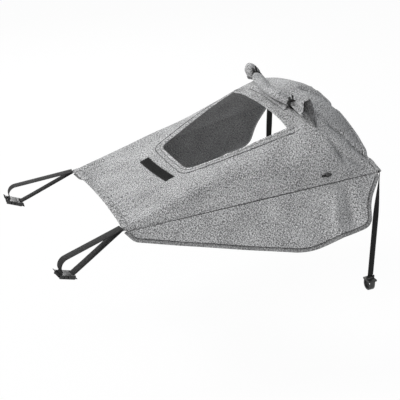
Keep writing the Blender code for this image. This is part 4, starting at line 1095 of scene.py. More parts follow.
# %% Frames of the roll
FLAP_X = 0.434
FLAP_BOW = 0.0155
FLAP_SKEW = 0.0065
FLAP_TIE = 0.094
FLAP_ROLL = 0.0175
FLAP_PINCH = 0.0105
FLAP_REST = 0.0008
TIE_WIDTH = 0.010
TIE_HALF = TIE_WIDTH * 0.6
LOBE_LONG, LOBE_WIDE, LOBE_TALL = 0.026, 0.018, 0.022
LOBE_PROFILE = ((0.25, 0.60), (0.60, 0.92), (1.0, 1.0), (1.40, 0.95), (0.046 / 0.026, 0.8))
FAN_CENTRE = np.array((0.4615, -0.157, 0.163))
FAN_HALF = np.array((0.0195, 0.0215, 0.0245))
FAN_THICK = 0.009
FAN_BULGE = 0.008


def bare(x, y, lift=0.0):
    """Points over the smooth cloth, before it drapes."""
    x, y = np.broadcast_arrays(np.asarray(x, float), np.asarray(y, float))
    t = share_at(x, y)
    return plain_cloth(x, t) + cloth_normal(x, t) * lift - SEAT


def roll_size(arc):
    """Half the roll's width at a distance from its middle."""
    stations = (
        (0.0, FLAP_ROLL), (FLAP_TIE * 0.6, FLAP_ROLL * 0.97), (FLAP_TIE - TIE_HALF, FLAP_PINCH),
        (FLAP_TIE + TIE_WIDTH, FLAP_PINCH),
    )
    return float(through(stations, min(abs(arc), FLAP_TIE + TIE_HALF)))


ROLL_Y = np.linspace(0.0, 0.18, 181)
ROLL_WALK = distances(bare(FLAP_X, ROLL_Y))
ACROSS = np.array((1.0, 0.0, 0.0))


def roll_frame(arc):
    """(middle, across, up) of the roll at a distance from its middle."""
    y = math.copysign(float(np.interp(abs(arc), ROLL_WALK, ROLL_Y)), arc)
    share = max(-1.2, min(arc / FLAP_TIE, 1.2))
    x = FLAP_X + FLAP_BOW * share ** 2 + FLAP_SKEW * share
    foot, over = bare(x, y), bare(x, y, 0.01)
    up = unit(over - foot)
    return foot + up * (CLOTH / 2 + FLAP_REST + ELASTIC_THICK + 1.5 * GAP + roll_size(arc)), ACROSS, up


def roll_keys():
    """Key frames (middle, wide, tall) from the fan's mouth to the lobe's end."""
    tie_in, tie_out = FLAP_TIE - TIE_HALF, FLAP_TIE + TIE_HALF
    keys = []
    base, across, up = roll_frame(-tie_out)
    mouth = FAN_CENTRE - SEAT
    normal = unit(bare(FAN_CENTRE[0], FAN_CENTRE[1], 0.01) - bare(FAN_CENTRE[0], FAN_CENTRE[1]))
    thin = unit(normal - FAN_HALF * (normal @ FAN_HALF) / (FAN_HALF @ FAN_HALF))
    for step in (1.0, 0.78, 0.56, 0.34, 0.16):
        middle = base + (mouth - base) * step + up * (4 * step * (1 - step) * FAN_BULGE)
        wide = across * FLAP_PINCH + (FAN_HALF - across * FLAP_PINCH) * step ** 0.8
        tall = up * FLAP_PINCH + (thin * FAN_THICK - up * FLAP_PINCH) * step
        keys.append((middle, wide, tall))
    half = [tie_in * i / 6 for i in range(7)] + [tie_out]
    for arc in [-a for a in reversed(half[1:])] + half:
        middle, across, up = roll_frame(arc)
        keys.append((middle, across * roll_size(arc), up * roll_size(arc)))
    base, across, up = roll_frame(tie_out)
    along = unit(np.cross(across, up))
    along = along * math.copysign(1.0, along[1])
    for reach, share in LOBE_PROFILE:
        wide = FLAP_PINCH + (LOBE_WIDE - FLAP_PINCH) * share
        tall = FLAP_PINCH + (LOBE_TALL - FLAP_PINCH) * share
        keys.append((base + along * (LOBE_LONG * reach) + up * (tall - FLAP_PINCH), across * wide, up * tall))
    return np.array(keys)


def smooth_curve(keys, per_span):
    """A curve through keys of any size, with even steps between each two of them."""
    keys = np.asarray(keys, float)
    padded = np.concatenate(([2 * keys[0] - keys[1]], keys, [2 * keys[-1] - keys[-2]]))
    out = []
    for i in range(1, len(padded) - 2):
        a, b, c, d = padded[i - 1:i + 3]
        ab, bc, cd = (max(np.linalg.norm(span.ravel()[:3]), 1e-6) ** 0.5 for span in (b - a, c - b, d - c))
        m1 = (c - b) + bc * ((b - a) / ab - (c - a) / (ab + bc))
        m2 = (c - b) + bc * ((d - c) / cd - (d - b) / (bc + cd))
        for q in np.arange(per_span) / per_span:
            h = 2 * (b - c) + m1 + m2
            out.append(h * q ** 3 + (-3 * (b - c) - 2 * m1 - m2) * q ** 2 + m1 * q + b)
    out.append(keys[-1])
    return np.array(out)


keys = roll_keys()
print("the roll has", len(keys), "key frames")

# %% The flap's sheet
TURNS = 3.9
CORE = 0.30
FLAP_START = math.radians(-118.0)
FLAP_CLOTH = 0.0010


def frames_at(frames, walk, place):
    """Frames between the smooth frames, at places measured along the roll."""
    out = at_distances(frames.reshape(len(frames), 9), walk, place)
    return out[..., 0:3], out[..., 3:6], out[..., 6:9]


def flap_radius(s, angle, share, tie_right, tie_left, end):
    """The share of the roll's size at each place: pleats at the ties, slack, and the fan's deep folds."""
    near = np.exp(-np.abs((s - tie_right) / 0.026) ** 1.6) + np.exp(-np.abs((s - tie_left) / 0.022) ** 1.6)
    folds = np.abs(np.cos(4.5 * angle + 0.3 + 6.0 * s)) ** 0.7 - 0.65
    pleat = near * (0.26 * folds + 0.05 * np.cos(14 * angle + 14 * s + 2.0))
    in_fan = smooth((tie_right - s) / 0.010)
    deep = 0.42 * (np.abs(np.cos(2.5 * angle + 0.2)) ** 0.7 - 0.62) + 0.05 * np.cos(9 * angle + 2.0)
    pleat = pleat * (1.0 - 0.8 * in_fan) + in_fan * deep * (1.0 - 0.75 * smooth((0.026 - s) / 0.026))
    slack = 0.035 * np.sin(2 * angle + 40 * s) * np.sin(60 * s + 1.2) + 0.022 * np.sin(90 * s + 3 * angle)
    radius = share[None, :] * (1.0 + pleat + slack * (1.0 - near * 0.8))
    waist = np.exp(-((s - tie_right) / 0.006) ** 2) + np.exp(-((s - tie_left) / 0.006) ** 2)
    return radius * (1.0 - 0.12 * waist) * (1.0 - 0.35 * smooth((s - end + 0.012) / 0.012) ** 2)


def make_flap():
    frames = smooth_curve(keys, 9)
    walk = distances(frames[:, 0])
    winding = np.linspace(0.0, 2 * np.pi * TURNS, int(TURNS * 46))
    angle = (winding + FLAP_START)[None, :]
    share = 1.0 - (1.0 - CORE) * winding / winding[-1]
    ties = [roll_frame(way * FLAP_TIE)[0] for way in (-1, 1)]
    tie_right, tie_left = (walk[np.argmin(np.linalg.norm(frames[:, 0] - tie, axis=1))] for tie in ties)
    s = walk[:, None]
    # the inner turns end further in at both mouths, so that the mouths are dark
    inner = smooth((1.0 - share) / 0.12)[None, :]
    set_in = 0.040 * smooth((tie_right - s) / (tie_right * 0.95))
    set_in = set_in - 0.014 * smooth((s - tie_left - 0.01) / 0.03)
    middle, wide, tall = frames_at(frames, walk, s + inner * set_in)
    radius = flap_radius(s, angle, share, tie_right, tie_left, walk[-1])
    # the fan's lower half lies shut, so that its mouth is open only above
    in_fan = smooth((tie_right - s) / 0.010)
    shut = 1.0 - 0.88 * in_fan * smooth((0.25 - np.cos(angle)) / 0.6)
    points = middle + wide * (radius * np.cos(angle))[..., None]
    points = points + tall * (radius * np.sin(angle) * shut)[..., None]
    # the fan's lower tip reaches on, and its mouth is cut back above it
    run = unit(np.gradient(frames[:, 0], axis=0))[:, None]
    reach = np.clip(1.0 - s / tie_right, 0.0, 1.0) ** 2
    points = points + run * (reach * (0.008 * np.cos(angle) + 0.002 * np.cos(5 * angle + 0.4)))[..., None]
    size = np.linalg.norm(frames[:, 1], axis=1).mean()
    uv = uv_grid(walk, winding * share.mean() * size)
    piece = piece_from("rolled_flap_cloth", points, grid_faces(*points.shape[:2]), [heather, lining], uv)
    thicken(piece, FLAP_CLOTH, inner=1)
    return finish_piece(piece, "rolled_flap", "heather_cloth", "window_flap"), walk[-1]


flap, flap_width = make_flap()
print("flap", round(flap_width, 3), "m wide, area", round(half_area(flap), 3), "square metres")

# %% [markdown]
# The flap leaves its seam behind the window, runs under the roll and turns up into it. This short strip
# crosses the joint between the panel and the roll, and it is put on neither of them. The loop tape on the
# flap's free hem is wound up inside the roll.

# %% Lead of the flap and its loop tape
LEAD_SPAN = FLAP_TIE * 0.86
LEAD_LONG = 0.014
TAPE_THICK = 0.0012


def make_lead():
    arcs = np.linspace(-LEAD_SPAN, LEAD_SPAN, 121)
    steps = np.linspace(0.0, 1.0, 9)
    q = steps[:, None]
    rows = []
    for arc in arcs:
        middle, across, up = roll_frame(arc)
        size = roll_size(arc) * 0.985
        end = middle + across * size * math.cos(FLAP_START) + up * size * math.sin(FLAP_START)
        seam = surface(WINDOW_REAR + 0.0035, end[1], CLOTH / 2 + 0.0012)
        low = surface(end[0] + SEAT[0] - 0.001, end[1], CLOTH / 2 + 0.0030)
        rows.append(seam * (1 - q) ** 2 + low * 2 * q * (1 - q) + end * q * q)
    points = np.array(rows)
    points[..., 2] += 0.0011 * gathers(arcs, 0.0095, 1.4)[:, None] * np.sin(np.pi * steps)[None, :] ** 0.5
    faces = grid_faces(*points.shape[:2])[:, ::-1]
    piece = piece_from("flap_lead", points, faces, [heather, lining], uv_grid(arcs, steps * LEAD_LONG))
    thicken(piece, 0.0009, inner=1)
    middle = points[len(points) // 2]
    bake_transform(piece)
    print(piece.name, "joins the panel and the roll")
    return piece


def make_loop_tape():
    corners = np.array(((-1, -1), (1, -1), (1, 1), (-1, 1)))
    arcs = np.linspace(-0.063, 0.063, 90)
    rings = []
    for arc in arcs:
        middle, across, up = roll_frame(arc)
        wall = roll_size(arc) * CORE * 0.80
        turn = corners[:, 0] * 0.85
        out = np.where(corners[:, 1] > 0, wall, wall - TAPE_THICK)
        rings.append(middle + across * (np.sin(turn) * out)[:, None] - up * (np.cos(turn) * out)[:, None])
    piece = tube("flap_loop_tape", np.array(rings), hook_tape, uv_grid(arcs, corners[:, 0] * 0.01))
    finish_piece(piece, "rolled_flap", "grip_tape", "flap_loop_strip")


lead = make_lead()
make_loop_tape()

# %% [markdown]
# ## Ribbons and cords
# Webbing, elastic and cord are all lofts: an outline that is carried along a path. The outline is a flat
# strip with rounded edges, or a circle. The UV runs in metres along the path, so the ribs keep their size.

# %% Lofts along a path
def flat_outline(width, thick):
    """A strip's outline with soft edges, as (across, up) pairs."""
    edge = thick * 0.45
    half = width / 2
    tall = thick / 2
    right = [(half - edge, -tall), (half - edge * 0.3, -tall * 0.7), (half, 0.0)]
    right += [(a, -b) for a, b in right[1::-1]]
    return np.array([(0.0, -tall)] + right + [(0.0, tall)] + [(-a, b) for a, b in reversed(right)])


def round_outline(radius, count=10):
    angle = 2 * np.pi * np.arange(count) / count
    return np.stack((radius * np.cos(angle), radius * np.sin(angle)), -1)


def loft_points(path, across, outline):
    """Points, faces and UV of an outline carried along a path, with its width towards across."""
    across = np.broadcast_to(across, path.shape)
    run = unit(np.gradient(path, axis=0))
    across = unit(across - run * (across * run).sum(-1, keepdims=True))
    rings = rings_on(path, across, np.cross(across, run), outline[None, :, 0], outline[None, :, 1])
    uv = uv_grid(distances(path), outline[:, 0])
    return rings.reshape(-1, 3), tube_faces(*rings.shape[:2]), uv.reshape(-1, 2)


def join_lofts(name, lofts, material):
    """One piece from several lofts."""
    points, faces, uvs = [], [], []
    shift = 0
    for spots, quads, uv in lofts:
        points.append(spots)
        uvs.append(uv)
        faces += [tuple(int(i) + shift for i in quad) for quad in quads]
        shift += len(spots)
    return closed_piece(name, np.concatenate(points), faces, material, np.concatenate(uvs))


print("lofts for strips and cords ready")

# %% [markdown]
# ## Ties of the flap
# An elastic ribbon goes round the roll near each end, and its tail stands up beside a short cord with a
# black bead that grips it.

# %% Ties
TIE_TAIL_WIDTH = 0.007
TIE_TAIL_LONG = 0.014
TIE_OFFSET = 0.0033
TIE_BEAD = 0.008


def make_tie(name, side):
    middle, across, up = roll_frame(side * FLAP_TIE)
    along = unit(np.cross(across, up))
    inner = FLAP_PINCH + 1.5 * GAP
    size = inner + ELASTIC_THICK / 2
    angle = np.linspace(0.0, 2 * np.pi, 73)[:-1]
    ring = middle + across * (np.cos(angle) * size)[:, None] + up * (np.sin(angle) * size)[:, None]
    outline = flat_outline(TIE_WIDTH, ELASTIC_THICK)
    wide = np.broadcast_to(along, ring.shape)
    rings = rings_on(ring, wide, unit(ring - middle), outline[None, :, 0], outline[None, :, 1])
    uv = uv_grid(angle * size, outline[:, 0])
    faces = grid_faces(*rings.shape[:2], closed_rows=True, closed_columns=True)
    loop = (rings.reshape(-1, 3), faces, uv.reshape(-1, 2))
    heights = np.linspace(size * 0.9, inner + ELASTIC_THICK + TIE_TAIL_LONG, 16)
    lean = 0.0012 * smooth((heights - size) / TIE_TAIL_LONG)
    path = middle + across * (TIE_OFFSET + lean)[:, None] + up * heights[:, None]
    tail = loft_points(path, along, flat_outline(TIE_TAIL_WIDTH, ELASTIC_THICK))
    heights = np.linspace(size * 0.9, inner + ELASTIC_THICK + 2 * GAP + TIE_BEAD + 4 * GAP, 12)
    path = middle - across * (TIE_OFFSET + ELASTIC_THICK) + up * heights[:, None]
    cord = loft_points(path, across, round_outline(0.0012))
    piece = join_lofts(name + "_tie_ribbon", [loop, tail, cord], elastic)
    finish_piece(piece, "rolled_flap", "elastic", name + "_flap_tie")


for side_name, way in SIDES:
    make_tie(side_name, way)

# %% [markdown]
# ## Cord loops on the side seams
# A folded wing is held up by a cord loop with a small barrel bead, sewn into the seam.

# %% Wing cord loops
WING_TOGGLE_X = 0.456
WING_TOGGLE_RISE = 0.020
BARREL_RADIUS = 0.0042
LOOP_LONG = 0.022
LOOP_BEND = 0.004
CORD_RADIUS = 0.0009


def make_wing_loop(name, side):
    place = fold_place(WING_TOGGLE_X / LENGTH)
    root = np.array((WING_TOGGLE_X, side * place[0], place[1]))
    upward = unit(plain_cloth(WING_TOGGLE_X, side * 0.9) - root)
    run = fold_line(side)[1]
    normal = unit(np.cross(upward, run) * side)
    centre = root + upward * WING_TOGGLE_RISE + normal * (CLOTH / 2 + 2 * GAP + BARREL_RADIUS) - SEAT
    leg = CORD_RADIUS + GAP / 2
    start, end, dip = -LOOP_LONG * 0.62, LOOP_LONG * 0.38 - LOOP_BEND, BARREL_RADIUS - CORD_RADIUS
    there = [(start, leg, dip), (start * 0.8, leg, dip * 0.8), (start * 0.5, leg, 0.0), (end, leg, 0.0)]
    turns = [math.pi * i / 6 for i in range(1, 6)]
    bend = [(end + LOOP_BEND * math.sin(turn), leg * math.cos(turn), 0.0) for turn in turns]
    spots = there + bend + [(a, -b, c) for a, b, c in reversed(there)]
    path = smooth_curve([centre + run * a + upward * b - normal * c for a, b, c in spots], 4)
    loft = loft_points(path, normal, round_outline(CORD_RADIUS, 8))
    piece = join_lofts(name + "_wing_cord", [loft], elastic)
    finish_piece(piece, "canopy", "elastic", name + "_wing_loop")


for side_name, way in SIDES:
    make_wing_loop(side_name, way)

# %% [markdown]
# ## Handle straps
# A handle strap is webbing that goes forward from the front corner, turns down in a wide bend, passes
# the crossbars of a side-release buckle, and comes back to the corner below. Its path lies in one upright
# plane, so it is written as (forward, up) pairs in that plane and then turned into place.

# %% Strap frames and paths
WEBBING = 0.0015
STRAP_WIDTH = 0.020
STRAP_SPREAD = 8.0
STRAP_ROOT = 0.0018
STRAP_TUCK = 0.0016
BAR_PLACES = {"left": np.array((0.131, -0.037)), "right": np.array((0.124, -0.048))}
BAR_RADIUS = 0.017
BAR_CLEAR = 0.0008
BAR_WRAP_END = -28.0
BUCKLE_THICK = 0.0085
BUCKLE_CLEAR = 0.0008
BUCKLE_TILT = math.radians(20.0)
BUCKLE_SHIFT = 0.006
SOCKET_LENGTH = 0.024
PLUG_BASE = 0.005
SLOT = 0.0036
CROSSBAR = 0.003
WRAP_RADIUS = 0.0029
TAIL_LENGTH = 0.009
FORWARD = np.array((math.cos(BUCKLE_TILT), math.sin(BUCKLE_TILT)))
UPWARD = np.array((-math.sin(BUCKLE_TILT), math.cos(BUCKLE_TILT)))


def polar(radius, degrees):
    return np.array((radius * math.cos(math.radians(degrees)), radius * math.sin(math.radians(degrees))))


def wrap(spot, degrees):
    """A point of the webbing's way round a crossbar."""
    turn = polar(WRAP_RADIUS, degrees)
    return spot + FORWARD * turn[0] + UPWARD * turn[1]


def strap_paths(name):
    """The upper and lower paths of a handle strap in its own plane."""
    bar = BAR_PLACES[name]
    place = bar - UPWARD * (BAR_RADIUS + BUCKLE_CLEAR + BUCKLE_THICK / 2) - FORWARD * BUCKLE_SHIFT
    radius = BAR_RADIUS + BAR_CLEAR + WEBBING / 2
    upper_root = np.array((-STRAP_TUCK, WEBBING / 2 + GAP / 2))
    lower_root = np.array((-STRAP_TUCK, -WEBBING / 2 - GAP / 2))
    away = bar - upper_root
    touch = math.degrees(math.atan2(away[1], away[0]) + math.asin(radius / np.linalg.norm(away))) + 90.0
    first = bar + polar(radius, touch)
    upper = [upper_root + (first - upper_root) * i / 4 for i in range(5)]
    upper += [bar + polar(radius, touch + (BAR_WRAP_END - touch) * i / 14) for i in range(1, 15)]
    spot = place + FORWARD * (SOCKET_LENGTH - CROSSBAR / 2)
    upper.append(wrap(spot, 180) + UPWARD * BUCKLE_THICK / 2)
    upper += [wrap(spot, degrees) for degrees in (180, 225, 270, 315, 360)]
    upper.append(upper[-1] + UPWARD * (BUCKLE_THICK / 2) + FORWARD * 0.001)
    upper.append(upper[-1] + UPWARD * (TAIL_LENGTH * 0.4) + FORWARD * (TAIL_LENGTH * 0.6))
    spot = place - FORWARD * (PLUG_BASE + SLOT + CROSSBAR / 2)
    entry = wrap(spot, 50)
    lower = [lower_root + (entry - lower_root) * i / 5 for i in range(6)]
    lower += [wrap(spot, degrees) for degrees in (0, -45, -90)]
    lower.append(lower[-1] - FORWARD * TAIL_LENGTH - UPWARD * 0.0015)
    return np.array(upper), np.array(lower)


def strap_place(side, flat, wide=0.0):
    """Points of the strap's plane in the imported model's frame."""
    turn = math.radians(180.0 - side * STRAP_SPREAD)
    ahead = np.array((math.cos(turn), math.sin(turn), 0.0))
    aside = np.array((-math.sin(turn), math.cos(turn), 0.0))
    corner = np.array((-STRAP_ROOT, side * FRONT_HALF, 0.0)) - SEAT
    return corner + ahead * flat[..., :1] + np.array((0.0, 0.0, 1.0)) * flat[..., 1:2] + aside * wide, aside


def make_strap(name, side, label, flat):
    path, aside = strap_place(side, resample(smooth_curve(flat, 8), 240))
    loft = loft_points(path, aside, flat_outline(STRAP_WIDTH, WEBBING))
    piece = join_lofts(name + "_" + label + "_webbing", [loft], webbing)
    finish_piece(piece, name + "_handle_strap", "black_webbing", name + "_" + label + "_strap")


for side_name, way in SIDES:
    for label, path in zip(("upper", "lower"), strap_paths(side_name)):
        make_strap(side_name, way, label, path)

# %% [markdown]
# ## Rear straps
# At each rear corner an elastic strap leaves the end of the hem on edge and twists flat as it drops to
# its hook. Its woven ribs are real bars here, laid along it by Geometry Nodes.

# %% Rear strap path
REAR_STRAP_LENGTH = 0.268
REAR_STRAP_WIDTH = 0.015
REAR_STRAP_TURN = math.radians(58.0)
REAR_STRAP_TWIST = 0.110
REAR_STRAP_LEAN = 0.008
REAR_STRAP_ROOT = 0.985
REAR_STRAP_STEPS = 150
HOOK_BAR = 0.0035
EYE_ANGLES = (60, 30, 0, -45, -90, -135, -180, -210, -238)


def rear_hem_middle(side, t):
    """A point on the middle of the rear hem."""
    return plain_cloth(float(rear_edge(np.array(t))) - REAR_HEM_WIDTH / 2, side * t)


def rear_strap_path(side):
    """(path, across) of a rear strap, down to the eye that holds its hook."""
    end = rear_hem_middle(side, REAR_STRAP_ROOT)
    run = unit(end - rear_hem_middle(side, 0.95))
    top = end + run * (2 * GAP) - SEAT
    aside = np.array((0.0, run[1], 0.0)) * (REAR_STRAP_LEAN / 2)
    radius = HOOK_BAR / 2 + ELASTIC_THICK / 2 + GAP
    foot = top + np.array((0.0, 0.0, -REAR_STRAP_LENGTH)) + aside
    walk = (REAR_STRAP_LENGTH - 2 * radius) * np.linspace(0.0, 1.0, REAR_STRAP_STEPS) ** 1.2
    lean = np.minimum(walk / REAR_STRAP_LEAN, 1.0)
    path = top + walk[:, None] * np.array((0.0, 0.0, -1.0)) + aside * (lean * (2 - lean))[:, None]
    twist = walk / REAR_STRAP_TWIST
    turn = REAR_STRAP_TURN * (1.0 - smooth(twist) * 0.5 - 0.5 * np.minimum(twist, 1.0))
    across = np.stack((np.cos(turn), -side * np.sin(turn), 0.0 * turn), -1)
    eye = smooth_curve([foot + np.array((0.0, *polar(radius, degrees))) for degrees in EYE_ANGLES], 4)
    return np.concatenate((path, eye)), np.concatenate((across, np.broadcast_to(ACROSS, eye.shape)))


for side_name, way in SIDES:
    loft = loft_points(*rear_strap_path(way), flat_outline(REAR_STRAP_WIDTH, ELASTIC_THICK))
    strap = join_lofts(side_name + "_rear_elastic", [loft], elastic)
    finish_piece(strap, side_name + "_tail_strap", "elastic", side_name + "_rear_strap")

# %% [markdown]
# ## Moulded parts
# The buckles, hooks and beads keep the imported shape, but a real moulding has no knife edges. A copy of
# each solid is merged, its flat faces are joined, and its edges are rounded with a small bevel.

# %% Rounded copies of the plastic solids
SOFT_EDGES = {
    "buckle_socket": 0.0005, "buckle_plug": 0.0005, "outer_release_arm": 0.0003, "inner_release_arm": 0.0003,
    "rear_hook": 0.0006, "wing_toggle": 0.0004, "flap_toggle": 0.0004,
}


def rounded_copy(name, width):
    """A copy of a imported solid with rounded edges."""
    source = frame["nodes"][name]
    mesh = source.data.copy()
    mesh.name = name + "_moulding"
    work = bmesh.new()
    work.from_mesh(mesh)
    bmesh.ops.remove_doubles(work, verts=work.verts, dist=0.00001)
    bmesh.ops.dissolve_limit(work, angle_limit=math.radians(2.0), verts=work.verts, edges=work.edges)
    work.to_mesh(mesh)
    work.free()
    mesh.materials.clear()
    mesh.materials.append(plastic)
    piece = add(name + "_moulding", mesh)
    edge = piece.modifiers.new("soft edges", "BEVEL")
    edge.width = width
    edge.segments = 2
    edge.limit_method = "ANGLE"
    edge.angle_limit = math.radians(32.0)
    edge.use_clamp_overlap = True
    settle(piece)
    piece.data.shade_smooth()
    piece.data.set_sharp_from_angle(angle=math.radians(38.0))
    finish_piece(piece, source["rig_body"], "black_plastic", name)


for side_name, _ in SIDES:
    for label, width in SOFT_EDGES.items():
        rounded_copy(side_name + "_" + label, width)

# %% [markdown]
# ## Hook tape
# The strip in front of the window is hook tape: a woven backing with rows of tiny stiff hooks. The
# backing is a thin sheet on the cloth. Geometry Nodes spread the hooks over it.

# %% Hook tape backing
STRIP_X, STRIP_Y = 0.144, -0.008
STRIP_LONG, STRIP_WIDE = 0.130, 0.022
STRIP_SKEW = math.tan(math.radians(3.4))
STRIP_THICK = 0.001


def tape_place(along, across):
    """(x, y) of a place on the hook strip, with both shares from -0.5 to 0.5."""
    y = STRIP_Y + STRIP_LONG * along
    x = STRIP_X + STRIP_WIDE * across - STRIP_SKEW * (y - STRIP_Y)
    return x - 0.0016 * (1 - (2 * along) ** 2) + 0.0008, y


def tape_sheet(reach, across_reach, rows, columns, lift):
    """(points, faces, uv) of a sheet on the hook strip."""
    along = np.linspace(-reach, reach, rows)
    across = np.linspace(-across_reach, across_reach, columns)
    x, y = tape_place(*np.meshgrid(along, across, indexing="ij"))
    faces = grid_faces(rows, columns)[:, ::-1]
    return surface(x, y, CLOTH / 2 + GAP + lift), faces, uv_grid(along * STRIP_LONG, across * STRIP_WIDE)


points, faces, uv = tape_sheet(0.5, 0.5, 91, 17, STRIP_THICK / 2)
tape = thicken(piece_from("hook_tape_backing", points, faces, [hook_tape], uv), 0.0008)
finish_piece(tape, "canopy", "grip_tape", "hook_strip")

# %% [markdown]
# ## Geometry Nodes for what repeats
# Three small trees make everything that repeats: stitches along a seam, hooks on the tape and ribs on
# the elastic. Each reads a plain carrier mesh, has named inputs for its sizes, and ends in Realize
# Instances and Set Material.

# %% Tree helpers
NUMBER = "NodeSocketFloat"
WHOLE = "NodeSocketInt"


def new_tree(name, **numbers):
    """A Geometry Nodes tree with a geometry input, named numbers and a material."""
    tree = bpy.data.node_groups.new(name, "GeometryNodeTree")
    tree.interface.new_socket("Geometry", in_out="INPUT", socket_type="NodeSocketGeometry")
    for label, value in numbers.items():
        kind = WHOLE if isinstance(value, int) else NUMBER
        tree.interface.new_socket(label, in_out="INPUT", socket_type=kind).default_value = value
    tree.interface.new_socket("Material", in_out="INPUT", socket_type="NodeSocketMaterial")
    tree.interface.new_socket("Geometry", in_out="OUTPUT", socket_type="NodeSocketGeometry")
    return tree, tree.nodes.new("NodeGroupInput").outputs, tree.nodes.new("NodeGroupOutput")


def combine(tree, x, y, z):
    return node(tree, "ShaderNodeCombineXYZ", {"X": x, "Y": y, "Z": z}).outputs[0]


def close_tree(tree, start, end, points, instance, rotation, scale):
    """Put an instance on each point, realize them, set the material and finish the tree."""
    laid = node(tree, "GeometryNodeInstanceOnPoints", {
        "Points": points, "Instance": instance, "Rotation": rotation, "Scale": scale})
    real = node(tree, "GeometryNodeRealizeInstances", {"Geometry": laid.outputs[0]})
    shade = node(tree, "GeometryNodeSetShadeSmooth", {"Geometry": real.outputs[0]})
    inputs = {"Geometry": shade.outputs[0], "Material": start["Material"]}
    tree.links.new(node(tree, "GeometryNodeSetMaterial", inputs).outputs[0], end.inputs[0])
    return tree


def grow(name, carrier, tree, values, body, slot):
    """Run a tree on a carrier mesh and keep the result as a plain mesh on a body."""
    step = carrier.modifiers.new("grow", "NODES")
    step.node_group = tree
    for item in tree.interface.items_tree:
        if item.item_type == "SOCKET" and item.in_out == "INPUT" and item.name in values:
            step[item.identifier] = values[item.name]
    mesh = plain_mesh(carrier)
    carrier.modifiers.remove(step)
    bpy.data.objects.remove(carrier, do_unlink=True)
    mesh.name = name
    finish_piece(add(name, mesh), body, slot)


def carrier_mesh(name, points, edges=()):
    mesh = bpy.data.meshes.new(name)
    mesh.from_pydata(points.tolist(), edges, [])
    return add(name, mesh)


print("tree helpers ready")


# %% Stitches
def stitch_tree():
    tree, start, end = new_tree("stitches along seams", Pitch=0.0032, Length=0.0024, Thickness=0.0006, Seed=4)
    curve = node(tree, "GeometryNodeMeshToCurve", {"Mesh": start["Geometry"]})
    pitched = {"Curve": curve.outputs[0], "Length": start["Pitch"]}
    even = node(tree, "GeometryNodeResampleCurve", pitched, mode="LENGTH")
    tangent = node(tree, "GeometryNodeInputTangent")
    turn = node(tree, "FunctionNodeAlignRotationToVector", {"Vector": tangent.outputs[0]}, axis="X")
    size = combine(tree, start["Length"], start["Thickness"], start["Thickness"])
    between = {2: 0.88, 3: 1.08, "Seed": start["Seed"]}
    uneven = node(tree, "FunctionNodeRandomValue", between, data_type="FLOAT")
    grown = node(tree, "ShaderNodeVectorMath", {0: size, "Scale": uneven.outputs[1]}, operation="SCALE")
    bead = node(tree, "GeometryNodeMeshUVSphere", {"Segments": 6, "Rings": 5, "Radius": 0.5})
    lying = {"Geometry": bead.outputs[0], "Rotation": (0.0, math.pi / 2, 0.0)}
    stitch = node(tree, "GeometryNodeTransform", lying).outputs[0]
    return close_tree(tree, start, end, even.outputs[0], stitch, turn.outputs[0], grown.outputs[0])


STITCHES = stitch_tree()


def sew(name, lines, body, slot, thread, pitch=0.0032, length=0.0024, thickness=0.0006):
    """Stitches along several lines of points."""
    edges, shift = [], 0
    for line in lines:
        edges += [(shift + i, shift + i + 1) for i in range(len(line) - 1)]
        shift += len(line)
    carrier = carrier_mesh(name + "_carrier", np.concatenate(lines), edges)
    sizes = {"Pitch": pitch, "Length": length, "Thickness": thickness, "Material": thread}
    grow(name, carrier, STITCHES, sizes, body, slot)


# %% Seams on the panel
THREAD_LIFT = 0.00012
SEAM_OFF_HEM = 0.0008


def window_round(outset):
    """A line round the window's front and sides, outside its edge."""
    front, side, _ = window_outline(-outset)
    half = np.concatenate((front, side[1:]))
    half = half[half[:, 0] < WINDOW_REAR - 0.004]
    return resample(np.concatenate((half[::-1] * (1.0, -1.0), half[1:])), 500)


def on_panel(x, y):
    return surface(x, y, CLOTH / 2 + THREAD_LIFT)


y = np.linspace(-0.153, 0.153, 300)
panel_lines = [on_panel(*window_round(WINDOW_STITCH).T),
               on_panel(front_edge(y / FRONT_HALF) + HEM_WIDTH + SEAM_OFF_HEM, y)]
x = np.linspace(0.018, LENGTH - 0.014, 400)
for way in (1, -1):
    for share in (0.972, 0.950):
        panel_lines.append(on_panel(x, plain_cloth(x, way * share)[:, 1]))
x = rear_edge(rear_t * 0.99) - REAR_HEM_WIDTH - SEAM_OFF_HEM
panel_lines.append(on_panel(x, plain_cloth(x, rear_t * 0.99)[:, 1]))
panel_lines.append(on_panel(WINDOW_REAR + 0.003, np.linspace(-0.132, 0.132, 200)))
sew("panel_stitches", panel_lines, "canopy", "heather_cloth", grey_thread)

corner_a, corner_b, overlap = 0.46, 0.44, 0.025
tape_round = resample([
    (-corner_a, -corner_b), (corner_a + overlap, -corner_b), (corner_a + overlap, corner_b),
    (-corner_a - overlap, corner_b), (-corner_a - overlap, -corner_b), (-corner_a, -corner_b)], 300)
tape_line = surface(*tape_place(*tape_round.T), CLOTH / 2 + GAP + STRIP_THICK)
sew("hook_tape_stitches", [tape_line], "canopy", "grip_tape", black_thread, 0.0026, 0.0019, 0.0005)

# %% Stitches on wings and straps
for side_name, way in SIDES:
    path, inward = wing_rim(500)
    along, depth = (path + inward * (WING_HEM * 0.76))[8:-8].T
    lift = WING_HEM_THICK * 0.62 * 0.5 + 0.00005
    lines = [wing_surface(way, along, depth, face * lift) for face in (-1, 1)]
    sew(side_name + "_wing_stitches", lines, side_name + "_side_wing", "binding_cloth", grey_thread)


